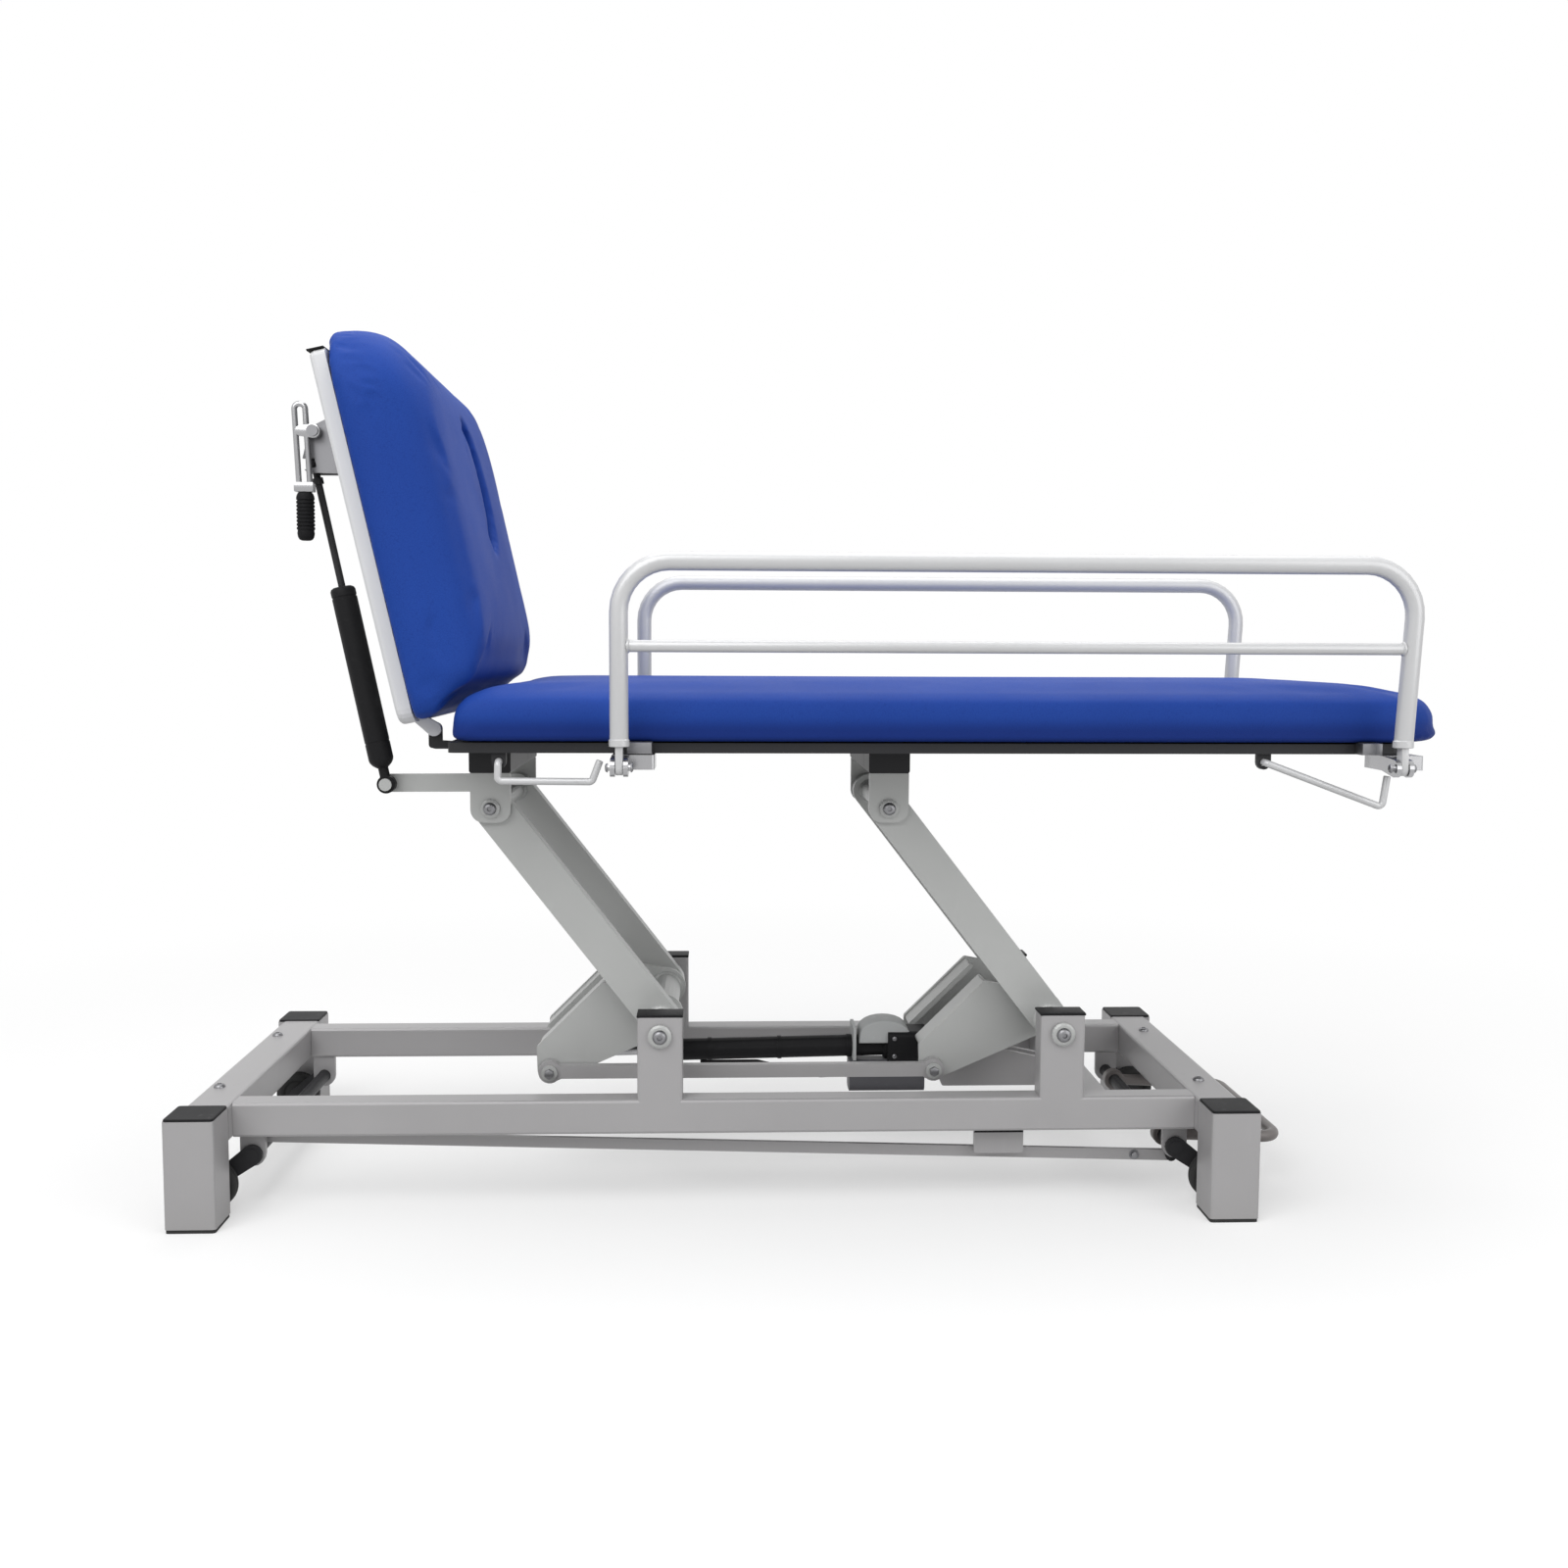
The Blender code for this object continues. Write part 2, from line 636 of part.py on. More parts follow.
def seat():
    """Board, cross members, pivot brackets and pad of the seat section."""
    board = rounded(
        [
            (BOARD_X[0], -BOARD_HALF, 0.012),
            (BOARD_X[1], -BOARD_HALF, SEAT_CORNER - 0.015),
            (BOARD_X[1], BOARD_HALF, SEAT_CORNER - 0.015),
            (BOARD_X[0], BOARD_HALF, 0.012),
        ],
        6,
    )
    deck = node("seat_board", prism(board, "Z", (BOARD_LOW, BOARD_HIGH)), "frame_black")
    x, z = HINGE
    floor = BOARD_LOW + 0.002
    root_x = BOARD_X[0] + 0.010
    knee_z = floor + 0.006
    foot = hull([(x, knee_z, 0.006), (root_x, floor, 0), (root_x, BOARD_HIGH - 0.002, 0)])
    upright = hull([(x, z, HINGE_BOSS - 0.001), (x - 0.004, knee_z, 0.005), (x + 0.004, knee_z, 0.005)])
    for name, sign in SIDES:
        for outline in (foot, upright):
            join(deck, prism(outline, "Y", span(sign, *HINGE_LUG)))
    for pivot in (BAIL_HEAD, BAIL_FOOT):
        root_z = BOARD_LOW + EDGE
        left = pivot[0] - BAIL_BOSS
        right = pivot[0] + BAIL_BOSS
        lug = hull([(*pivot, BAIL_BOSS), (left, root_z, 0), (right, root_z, 0)])
        join(deck, prism(lug, "Y", BAIL_LUG))
    for name, sign in SIDES:
        bore = span(sign, HINGE_LUG[0] - THROUGH, HINGE_LUG[1] + THROUGH)
        cut(deck, pin(HINGE, HINGE_PIN + RUN, bore))
    for pivot in (BAIL_HEAD, BAIL_FOOT):
        cut(deck, pin(pivot, BAIL_R + RUN, (BAIL_LUG[0] - 0.005, BAIL_LUG[1] + 0.005)))
    top = BOARD_LOW - GAP
    for end, low in ENDS:
        x = low + ARM_RUN
        z = PIVOT_Z + ARM_RISE
        cross = (x - CROSS_HALF, x + CROSS_HALF)
        member = bar("Y", cross, (top - CROSS_HEIGHT, top), (-CROSS_REACH, CROSS_REACH), 0.003)
        node(f"seat_cross_{end}", member, "frame_black")
        under = top - CROSS_HEIGHT - GAP
        for name, sign in SIDES:
            left = x - BRACKET_HALF
            right = x + BRACKET_HALF
            low_z = z - BRACKET_DROP
            corners = [(left, low_z, BRACKET_ROUND), (right, low_z, BRACKET_ROUND)]
            plate = rounded(corners + [(right, under, 0), (left, under, 0)], 5)
            y = span(sign, BRACKET_IN, BRACKET_OUT)
            bracket = node(f"pivot_bracket_{end}_{name}", prism(plate, "Y", y), "arm_grey")
            if (end, name) == ("head", "near"):
                root_x = left + 0.010
                arm = hull([(*STRUT_LOW, EYE_R), (root_x, under - 0.001, 0), (root_x, under - 0.027, 0)])
                join(bracket, prism(arm, "Y", y))
                stop = STRUT_Y + STRUT_EYE + 2 * RUN
                stud = [(-stop - 0.004, 0.009), (-stop, 0.009)]
                stud += [(-stop, STRUT_STUD), (0.002 - BRACKET_OUT, STRUT_STUD)]
                join(bracket, turned(STRUT_LOW, stud, 16))
            bore = span(sign, BRACKET_IN - THROUGH, BRACKET_OUT + THROUGH)
            cut(bracket, pin((x, z), SHAFT_JOURNAL + RUN, bore, 20))
    low = BOARD_HIGH + GAP
    high = low + SEAT_SIDE
    rings = []
    rows = ((0.0, 0.004), (0.009, 0.001), (0.026, 0.0), (0.040, 0.0), (0.049, 0.0012), (0.058, 0.005))
    rows += ((0.065, 0.0105), (0.070, 0.018), (SEAT_SIDE, 0.033))
    for rise, side in rows:
        small = side if rise < 0.030 else 0.0
        head = edge_inset(low + rise, high, SEAT_HEAD_EDGE) + small
        foot = edge_inset(low + rise, high, SEAT_FOOT_EDGE) + small
        outline = cushion_outline(SEAT_X, PAD_HALF, (0.030, SEAT_CORNER), (head, side, foot))
        rings.append([(a, b, low + rise) for a, b in outline])
    for rise, inset in ((0.0035, 0.085), (0.0055, 0.150), (0.0065, 0.220)):
        outline = cushion_outline(SEAT_X, PAD_HALF, (0.030, SEAT_CORNER), (inset, inset, inset))
        rings.append([(a, b, high + rise) for a, b in outline])
    node("seat_pad", loft(rings), "blue_vinyl")


def backrest():
    """Panel with hinge tongues, pad with its oval plug, strut bracket and release lever."""
    corners = [(PANEL_S[i], -PANEL_HALF, PANEL_CORNERS[i]) for i in (0, 1)]
    corners += [(PANEL_S[i], PANEL_HALF, PANEL_CORNERS[i]) for i in (1, 0)]
    rings = []
    back = PANEL_T[0]
    for t, inset in ((back, 0.004), (back + 0.003, 0.001), (back + 0.007, 0.0), (PANEL_T[1], 0.0)):
        shrunk = []
        for s, y, radius in corners:
            s += inset if s == PANEL_S[0] else -inset
            shrunk.append((s, y + (inset if y < 0 else -inset), radius))
        ring = []
        for s, y in rounded(shrunk, 5):
            a, b = on_back(s, t)
            ring.append((a, y, b))
        rings.append(ring)
    panel = node("back_frame", loft(rings), "panel_grey", HINGE)
    tongue = hull([(0.0, 0.0, HINGE_BOSS), (0.030, PANEL_T[1] - 0.002, 0), (0.030, PANEL_T[0] + 0.004, 0)])
    for name, sign in SIDES:
        join(panel, back_prism(tongue, span(sign, *HINGE_TONGUE)))
        join(panel, pin(HINGE, HINGE_PIN, span(sign, HINGE_LUG[0] - 0.004, HINGE_TONGUE[0] + 0.002)))
    rings = []
    for t, *inset in BACK_ROWS:
        ring = []
        for s, y in cushion_outline(BACK_S, PAD_HALF, BACK_CORNERS, inset):
            a, b = on_back(s, t)
            ring.append((a, y, b))
        rings.append(ring)
    pad = node("back_pad", loft(rings), "blue_vinyl", HINGE)
    pocket = hull([(0.0, 0.0, HINGE_BOSS + RUN), (0.031, PANEL_T[1] - 0.001, 0), (0.031, PANEL_T[0], 0)])
    for name, sign in SIDES:
        cut(pad, back_prism(pocket, span(sign, HINGE_TONGUE[0] - 0.001, HINGE_TONGUE[1] + 0.001)))
    bed = BACK_T[1] - PLUG_DEPTH

    def oval(grow, t):
        ring = []
        for k in range(32):
            angle = 2 * math.pi * k / 32
            a, b = on_back(PLUG_S + (PLUG_LONG + grow) * math.cos(angle), t)
            ring.append((a, (PLUG_WIDE + grow) * math.sin(angle), b))
        return ring

    cut(pad, loft([oval(0.0, bed), oval(0.0, BACK_T[1] + 0.02)]))
    face = BACK_T[1] + 0.0045
    plug = [oval(-0.006, bed + GAP), oval(-RUN, bed + 0.006), oval(-RUN, face - 0.004), oval(-0.004, face)]
    plug += [oval(-0.020, face + 0.002), oval(-0.040, face + 0.003)]
    node("face_plug", loft(plug), "blue_vinyl", HINGE)


def spindle(start, end, profile, segments=16):
    """Solid of revolution along a line, from a profile of distance, radius."""
    start = Vector(start)
    way = (Vector(end) - start).normalized()
    side = way.orthogonal().normalized()
    other = way.cross(side)
    rings = []
    for distance, radius in profile:
        ring = []
        for k in range(segments):
            angle = 2 * math.pi * k / segments
            spoke = side * math.cos(angle) + other * math.sin(angle)
            ring.append(start + way * distance + spoke * radius)
        rings.append(ring)
    return loft(rings)


def strut():
    """Gas strut between the head bracket and the backrest, its bracket, and the lever that frees it."""
    low = Vector((STRUT_LOW[0], -STRUT_Y, STRUT_LOW[1]))
    high = Vector((STRUT_HIGH[0], -STRUT_Y, STRUT_HIGH[1]))
    way = (high - low).normalized()
    profile = [(0.0, STRUT_EYE - RUN), (0.026, STRUT_EYE - RUN), (0.031, STRUT_R - 0.003), (0.036, STRUT_R)]
    profile += [(STRUT_TOP - 0.004, STRUT_R), (STRUT_TOP, STRUT_R - 0.004)]
    cylinder = node("strut_cylinder", spindle(low, high, profile, 20), "black_plastic", tuple(low))
    eye = (-STRUT_Y - STRUT_EYE, STRUT_EYE - STRUT_Y)
    join(cylinder, pin(STRUT_LOW, EYE_R, eye, 20))
    cut(cylinder, pin(STRUT_LOW, STRUT_STUD + RUN, (eye[0] - THROUGH, eye[1] + THROUGH)))
    cut(cylinder, rod(low + way * 0.020, low + way * (STRUT_TOP + THROUGH), STRUT_BORE))
    stem = node("strut_rod", rod(low + way * STRUT_INNER, high, STRUT_ROD, 12), "frame_black", tuple(high))
    join(stem, pin(STRUT_HIGH, 0.009, (eye[0] + 0.001, eye[1] - 0.001)))
    join(stem, pin(STRUT_HIGH, STRUT_PIN, (-STRUT_Y - 0.020, 0.020 - STRUT_Y), 12))
    hub = Vector(STRUT_HIGH) - Vector(HINGE)
    turn = Vector(LEVER_PIVOT) - Vector(HINGE)
    hub = (hub.dot(UP), hub.dot(OUT))
    turn = (turn.dot(UP), turn.dot(OUT))
    foot = (PANEL_T[0] - GAP - 0.006, PANEL_T[0] - GAP)
    low_s = hub[0] - 0.031
    high_s = turn[0] + 0.025
    plate = [(low_s, foot[0]), (high_s, foot[0]), (high_s, foot[1]), (low_s, foot[1])]
    bracket = node("strut_bracket", back_prism(plate, (-0.222, -0.150)), "bright_steel", HINGE)
    root_t = foot[0] + 0.003
    ear = hull([(*hub, EYE_R), (*turn, 0.010), (hub[0] - 0.024, root_t, 0), (turn[0] + 0.018, root_t, 0)])
    for y in ((-0.2035, -0.1985), (-0.1715, -0.1665)):
        join(bracket, back_prism(ear, y))
    seat_r = STRUT_PIN + 0.0017
    slot = [(-seat_r, seat_r), (seat_r, seat_r), (seat_r, 0.0)]
    slot += [(STRUT_MOUTH, -0.014), (STRUT_MOUTH, -0.04), (-seat_r, -0.04)]
    cut(bracket, back_prism([(hub[0] + s, hub[1] + t) for s, t in slot], (-0.230, -0.160)))
    stud = [(-0.2245, 0.008), (-0.2200, 0.008), (-0.2200, 0.004), (-0.2000, 0.004)]
    join(bracket, turned(LEVER_PIVOT, stud, 16))
    x, z = LEVER_PIVOT
    loop = [(x - 0.021, z - 0.078), (x - 0.026, z + 0.037), (x - 0.011, z + 0.037), (x - 0.006, z - 0.078)]
    wire = pipe([(a, -LEVER_Y, b) for a, b in loop], LEVER_R, 0.0072, 8, 5)
    lever = node("release_lever", wire, "bright_steel", (x, -LEVER_Y, z))
    plate = hull([(x, z, 0.010), (x - 0.018, z, 0.007)])
    join(lever, prism(plate, "Y", (-LEVER_Y - 0.004, 0.004 - LEVER_Y)))
    depth = (-LEVER_Y - 0.008, 0.008 - LEVER_Y)
    join(lever, bar("Z", (x - 0.0265, x - 0.0005), depth, (z - 0.084, z - 0.070), 0.004))
    cut(lever, pin(LEVER_PIVOT, 0.004 + RUN, (-LEVER_Y - THROUGH, THROUGH - LEVER_Y), 12))
    start = Vector((x - 0.0130, -LEVER_Y, z - 0.084 - GAP))
    profile = [(0.0, 0.009), (0.004, 0.012), (0.030, 0.0125), (0.058, 0.0115), (0.066, 0.008)]
    grip = spindle(start, start - Vector((0, 0, 1)), profile)
    node("lever_grip", grip, "black_plastic", (x, -LEVER_Y, z))


def guards():
    """Folding guard rails with their hinges, and the wire bails on the near side."""
    for name, sign in SIDES:
        y = sign * GUARD_Y
        foot_x = GUARD_FOOT_X - GUARD_LEAN
        drop = (GUARD_TOP - GUARD_MID) / (GUARD_TOP - GUARD_LOW)
        line = [(GUARD_HEAD_X, y, GUARD_LOW), (GUARD_HEAD_X, y, GUARD_TOP)]
        line += [(GUARD_FOOT_X, y, GUARD_TOP), (foot_x, y, GUARD_LOW)]
        tube = pipe(line, GUARD_R, GUARD_BEND, 12, 7)
        guard = node(f"guard_rail_{name}", tube, "rail_silver", (0.0, y, GUARD_PIVOT))
        mid = (GUARD_FOOT_X - GUARD_LEAN * drop, y, GUARD_MID)
        join(guard, rod((GUARD_HEAD_X, y, GUARD_MID), mid, GUARD_MID_R, 10))
        for x in (GUARD_HEAD_X, foot_x):
            root_z = GUARD_LOW + 0.006
            tongue = hull([(y, GUARD_PIVOT, 0.010), (y - 0.008, root_z, 0), (y + 0.008, root_z, 0)])
            join(guard, prism(tongue, "X", (x - TONGUE_HALF, x + TONGUE_HALF)))
        for x in (GUARD_HEAD_X, foot_x):
            cut(guard, rod((x - 0.02, y, GUARD_PIVOT), (x + 0.02, y, GUARD_PIVOT), 0.004 + RUN, 12))
        for end, x, way in (("head", GUARD_HEAD_X, 1), ("foot", foot_x, 1)):
            top = BOARD_LOW - GAP
            block = bar(
                "Z",
                span(way, way * x - 0.012, way * x + 0.045),
                span(sign, BOARD_HALF - 0.035, BOARD_HALF + 0.030),
                (top - 0.020, top),
                0.003,
            )
            hinge = node(f"rail_hinge_{name}_{end}", block, "bright_steel")
            ear = hull(
                [
                    (y, GUARD_PIVOT, 0.012),
                    (sign * (BOARD_HALF + 0.026), top, 0),
                    (sign * (BOARD_HALF + 0.026), top - 0.020, 0),
                ]
            )
            inner = TONGUE_HALF + RUN
            join(hinge, prism(ear, "X", (x - 0.012, x - inner)))
            join(hinge, prism(ear, "X", (x + inner, x + 0.012)))
            join(hinge, rod((x - 0.015, y, GUARD_PIVOT), (x + 0.015, y, GUARD_PIVOT), 0.004, 12))
    inside = BAIL_LUG[1] + 0.003
    for end, pivot, bends in (("head", BAIL_HEAD, BAIL_HEAD_LINE), ("foot", BAIL_FOOT, BAIL_FOOT_LINE)):
        x, z = pivot
        line = [(x, inside, z), (x, BAIL_Y, z)] + [(x + a, BAIL_Y, z + b) for a, b in bends]
        node(f"rail_bail_{end}", pipe(line, BAIL_R, BAIL_BEND, 8, 3), "rail_silver", (x, BAIL_Y, z))


def castors():
    """Two shafts with swing arms and wheels, turned together by a link and a pedal."""
    link_ends = []
    for end, way in (("head", -1), ("foot", 1)):
        centre = (way * SHAFT_X, SHAFT_Z)
        axle = (way * AXLE_X, AXLE_Z)
        throw = (centre[0], SHAFT_Z - way * CRANK_THROW)
        link_ends.append(throw)
        reach = SWING_Y[1] + 0.001
        across = pin(centre, CASTOR_SHAFT, (-reach, reach))
        shaft = node(f"castor_shaft_{end}", across, "frame_black", centre)
        crank = hull([(*centre, 0.014), (*throw, 0.008)])
        join(shaft, prism(crank, "Y", (LINK_Y[0] - RUN - 0.004, LINK_Y[0] - RUN)))
        stop = LINK_Y[1] + RUN
        peg = [(LINK_Y[0] - 0.002, THROW_PIN), (stop, THROW_PIN), (stop, 0.007), (stop + 0.003, 0.007)]
        join(shaft, turned(throw, peg, 12))
        for name, sign in SIDES:
            join(shaft, prism(hull([(*centre, 0.015), (*axle, 0.011)]), "Y", span(sign, *SWING_Y)))
            stop = WHEEL_Y[1] + RUN
            stub = [(SWING_Y[0] + 0.001, AXLE_R), (stop, AXLE_R), (stop, 0.009), (stop + 0.003, 0.009)]
            stub = [(sign * y, radius) for y, radius in stub]
            join(shaft, turned(axle, stub[::sign], 12))
            y0, y1 = WHEEL_Y
            half = [(0.002, 0.020), (0.002, 0.025), (0.0, 0.027), (0.0, WHEEL_R - 0.003), (0.003, WHEEL_R)]
            tread = [(y0 + y, radius) for y, radius in half]
            tread += [(y1 - y, radius) for y, radius in half[::-1]]
            tread = [(sign * y, radius) for y, radius in tread][::sign]
            wheel = node(f"castor_wheel_{end}_{name}", turned(axle, tread, 20), "black_plastic", axle)
            cut(wheel, pin(axle, AXLE_R + RUN, span(sign, y0 - THROUGH, y1 + THROUGH), 12))
    head, foot = link_ends
    strip = hull([(*head, LINK_HALF), (*foot, LINK_HALF)])
    link = node("castor_link", prism(strip, "Y", LINK_Y), "base_grey", foot)
    for throw in link_ends:
        cut(link, pin(throw, THROW_PIN + LINK_PLAY, (LINK_Y[0] - THROUGH, LINK_Y[1] + THROUGH), 12))
    start = SHAFT_X + CASTOR_SHAFT + 0.004
    line = [(start, -PEDAL_Y, SHAFT_Z - 0.001), (PEDAL_X, -PEDAL_Y, PEDAL_Z)]
    line += [(PEDAL_X, PEDAL_Y, PEDAL_Z), (start, PEDAL_Y, SHAFT_Z - 0.001)]
    pedal = node("castor_pedal", pipe(line, PEDAL_R, 0.030, 10, 4), "base_grey", (SHAFT_X, SHAFT_Z))
    for name, sign in SIDES:
        y = span(sign, PEDAL_Y - 0.009, PEDAL_Y + 0.009)
        join(pedal, pin((SHAFT_X, SHAFT_Z), 0.017, y, 16))
    for name, sign in SIDES:
        bore = span(sign, PEDAL_Y - 0.02, PEDAL_Y + 0.02)
        cut(pedal, pin((SHAFT_X, SHAFT_Z), CASTOR_SHAFT + GAP, bore))


base()
actuator_mount()
lift()
actuator()
seat()
backrest()
strut()
guards()
castors()
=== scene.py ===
"""Looks of an electric treatment couch: painted steel, pads in blue vinyl, rails, levers and fasteners."""

import logging
import math
from dataclasses import dataclass
from enum import Enum
from typing import Optional, Sequence, Union

import bmesh
import bpy
from mathutils import Matrix, Vector


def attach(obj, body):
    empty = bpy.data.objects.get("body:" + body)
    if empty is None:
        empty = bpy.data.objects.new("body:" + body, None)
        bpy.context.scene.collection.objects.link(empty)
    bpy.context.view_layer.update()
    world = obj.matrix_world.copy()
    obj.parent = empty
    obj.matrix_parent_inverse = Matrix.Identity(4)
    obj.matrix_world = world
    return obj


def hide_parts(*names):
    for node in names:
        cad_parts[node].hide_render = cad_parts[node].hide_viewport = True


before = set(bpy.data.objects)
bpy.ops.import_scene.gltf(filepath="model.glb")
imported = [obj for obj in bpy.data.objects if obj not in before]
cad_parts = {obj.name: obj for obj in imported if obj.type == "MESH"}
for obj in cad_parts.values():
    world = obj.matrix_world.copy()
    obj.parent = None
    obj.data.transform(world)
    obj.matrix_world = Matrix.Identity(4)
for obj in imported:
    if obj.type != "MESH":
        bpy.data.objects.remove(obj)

log = logging.getLogger("couch")
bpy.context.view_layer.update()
RAISED = 77.4  # angle of the backrest at rest, in degrees
STUB_X = {"head": -0.218, "foot": 0.362}  # pivot stubs of the base
CASTOR_X = {"head": -0.855, "foot": 0.589}  # castor axles
UP = (0.0, 0.0, 1.0)
ACROSS = (0.0, 1.0, 0.0)  # from the near side to the far side
TO_NEAR = (0.0, -1.0, 0.0)
Point = Sequence[float]
Number = Union[float, "Value"]


class Value:
    """A shader socket that builds Math nodes when it is used in an expression."""

    def __init__(self, graph: "Graph", socket: bpy.types.NodeSocket) -> None:
        """Wraps one output socket of a node tree.

        Args:
            graph: The tree that the socket belongs to.
            socket: The output socket.
        """
        self.graph = graph
        self.socket = socket

    def _math(self, operation: str, first: Number, second: Number) -> "Value":
        """Adds one Math node.

        Args:
            operation: Blender's name of the operation.
            first: First operand.
            second: Second operand.

        Returns:
            The result.
        """
        made = self.graph.add("ShaderNodeMath", {"operation": operation}, {0: first, 1: second})
        return self.graph.value(made, 0)

    def __add__(self, other: Number) -> "Value":
        """Sum of two values."""
        return self._math("ADD", self, other)

    def __sub__(self, other: Number) -> "Value":
        """Difference of two values."""
        return self._math("SUBTRACT", self, other)

    def __mul__(self, other: Number) -> "Value":
        """Product of two values."""
        return self._math("MULTIPLY", self, other)

    def __radd__(self, other: float) -> "Value":
        """Sum with a plain number first."""
        return self._math("ADD", other, self)

    def __rsub__(self, other: float) -> "Value":
        """Difference with a plain number first."""
        return self._math("SUBTRACT", other, self)

    def __rmul__(self, other: float) -> "Value":
        """Product with a plain number first."""
        return self._math("MULTIPLY", other, self)

    def step(self, low: float, high: float) -> "Value":
        """Smooth rise from 0 at low to 1 at high.

        Args:
            low: Value at which the result leaves 0.
            high: Value at which the result reaches 1.

        Returns:
            The eased result.
        """
        settings = {"interpolation_type": "SMOOTHSTEP"}
        inputs = {"Value": self, "From Min": low, "From Max": high}
        made = self.graph.add("ShaderNodeMapRange", settings, inputs)
        return self.graph.value(made, 0)


class Graph:
    """A node tree that is filled node by node."""

    def __init__(self, tree: bpy.types.NodeTree) -> None:
        """Empties a tree and takes it over.

        Args:
            tree: The tree.
        """
        self.tree = tree
        self.tree.nodes.clear()

    def add(self, kind: str, settings: dict, inputs: dict) -> bpy.types.Node:
        """Adds any node, sets it and feeds its sockets.

        Args:
            kind: Blender's type name of the node.
            settings: Attributes of the node.
            inputs: Socket name or number to a value, a colour or a Value to link.

        Returns:
            The node.
        """
        made = self.tree.nodes.new(kind)
        for key, setting in settings.items():
            setattr(made, key, setting)
        for key, given in inputs.items():
            socket = made.inputs[key]
            if isinstance(given, Value):
                self.tree.links.new(given.socket, socket)
            else:
                socket.default_value = given
        return made

    def value(self, made: bpy.types.Node, output: Union[int, str]) -> Value:
        """Output of a node as a value."""
        return Value(self, made.outputs[output])

    def seen(self) -> Value:
        """Where a ray shows the background: 1 straight from the camera, in a mirror or through glass.

        Returns:
            The share, 0 or 1.
        """
        path = self.add("ShaderNodeLightPath", {}, {})
        straight = self.value(path, "Is Camera Ray")
        return straight + self.value(path, "Is Glossy Ray") + self.value(path, "Is Transmission Ray")


class Shade(Graph):
    """Node tree of one material, built by expressions."""

    def __init__(self, name: str) -> None:
        """Starts a material with a Principled shader.

        Args:
            name: Name of the material.
        """
        self.material = bpy.data.materials.new(name)
        self.material.use_nodes = True
        super().__init__(self.material.node_tree)
        self.surface = self.add("ShaderNodeBsdfPrincipled", {}, {})
        shown = {"Surface": self.value(self.surface, "BSDF")}
        self.output = self.add("ShaderNodeOutputMaterial", {}, shown)
        self.place = self.value(self.add("ShaderNodeTexCoord", {}, {}), "Object")

    def noise(self, scale: float, detail: float = 2.0, stretch: Point = (1.0, 1.0, 1.0)) -> Value:
        """Noise over the piece.

        Args:
            scale: Waves per metre.
            detail: Octaves.
            stretch: Factors on the three axes, to draw the noise out.

        Returns:
            The noise from 0 to 1.
        """
        spot = self.add("ShaderNodeMapping", {}, {"Vector": self.place, "Scale": tuple(stretch)})
        inputs = {"Vector": self.value(spot, 0), "Scale": scale, "Detail": detail}
        return self.value(self.add("ShaderNodeTexNoise", {}, inputs), 0)

    def cells(self, scale: float, feature: str = "F1") -> Value:
        """Voronoi cells over the piece.

        Args:
            scale: Cells per metre.
            feature: Blender's name of the cell measure.

        Returns:
            Distance in the cell.
        """
        inputs = {"Vector": self.place, "Scale": scale}
        return self.value(self.add("ShaderNodeTexVoronoi", {"feature": feature}, inputs), "Distance")

    def height(self, axis: str = "Z") -> Value:
        """Coordinate of the surface along an axis, in metres."""
        return self.value(self.add("ShaderNodeSeparateXYZ", {}, {0: self.place}), axis)

    def mix(self, share: Number, first: Union[Point, Value], second: Union[Point, Value]) -> Value:
        """Blend of two colours.

        Args:
            share: How much of the second colour shows.
            first: First colour, or a value.
            second: Second colour, or a value.

        Returns:
            The blended colour.
        """
        first = first if isinstance(first, Value) else (*first, 1.0)
        second = second if isinstance(second, Value) else (*second, 1.0)
        made = self.add("ShaderNodeMix", {"data_type": "RGBA"}, {0: share, 6: first, 7: second})
        return self.value(made, 2)

    def bump(self, height: Value, strength: float, distance: float) -> Value:
        """Surface normal from a height.

        Args:
            height: Height from 0 to 1.
            strength: Strength of the effect.
            distance: Real height of 1, in metres.

        Returns:
            The normal.
        """
        inputs = {"Height": height, "Strength": strength, "Distance": distance}
        return self.value(self.add("ShaderNodeBump", {}, inputs), 0)

    def finish(self, varied: dict, plain: dict) -> bpy.types.Material:
        """Feeds the Principled shader.

        Args:
            varied: Sockets fed by values that change over the surface.
            plain: Sockets set to one value.

        Returns:
            The material.
        """
        for key, given in varied.items():
            self.tree.links.new(given.socket, self.surface.inputs[key])
        for key, given in plain.items():
            self.surface.inputs[key].default_value = given
        return self.material


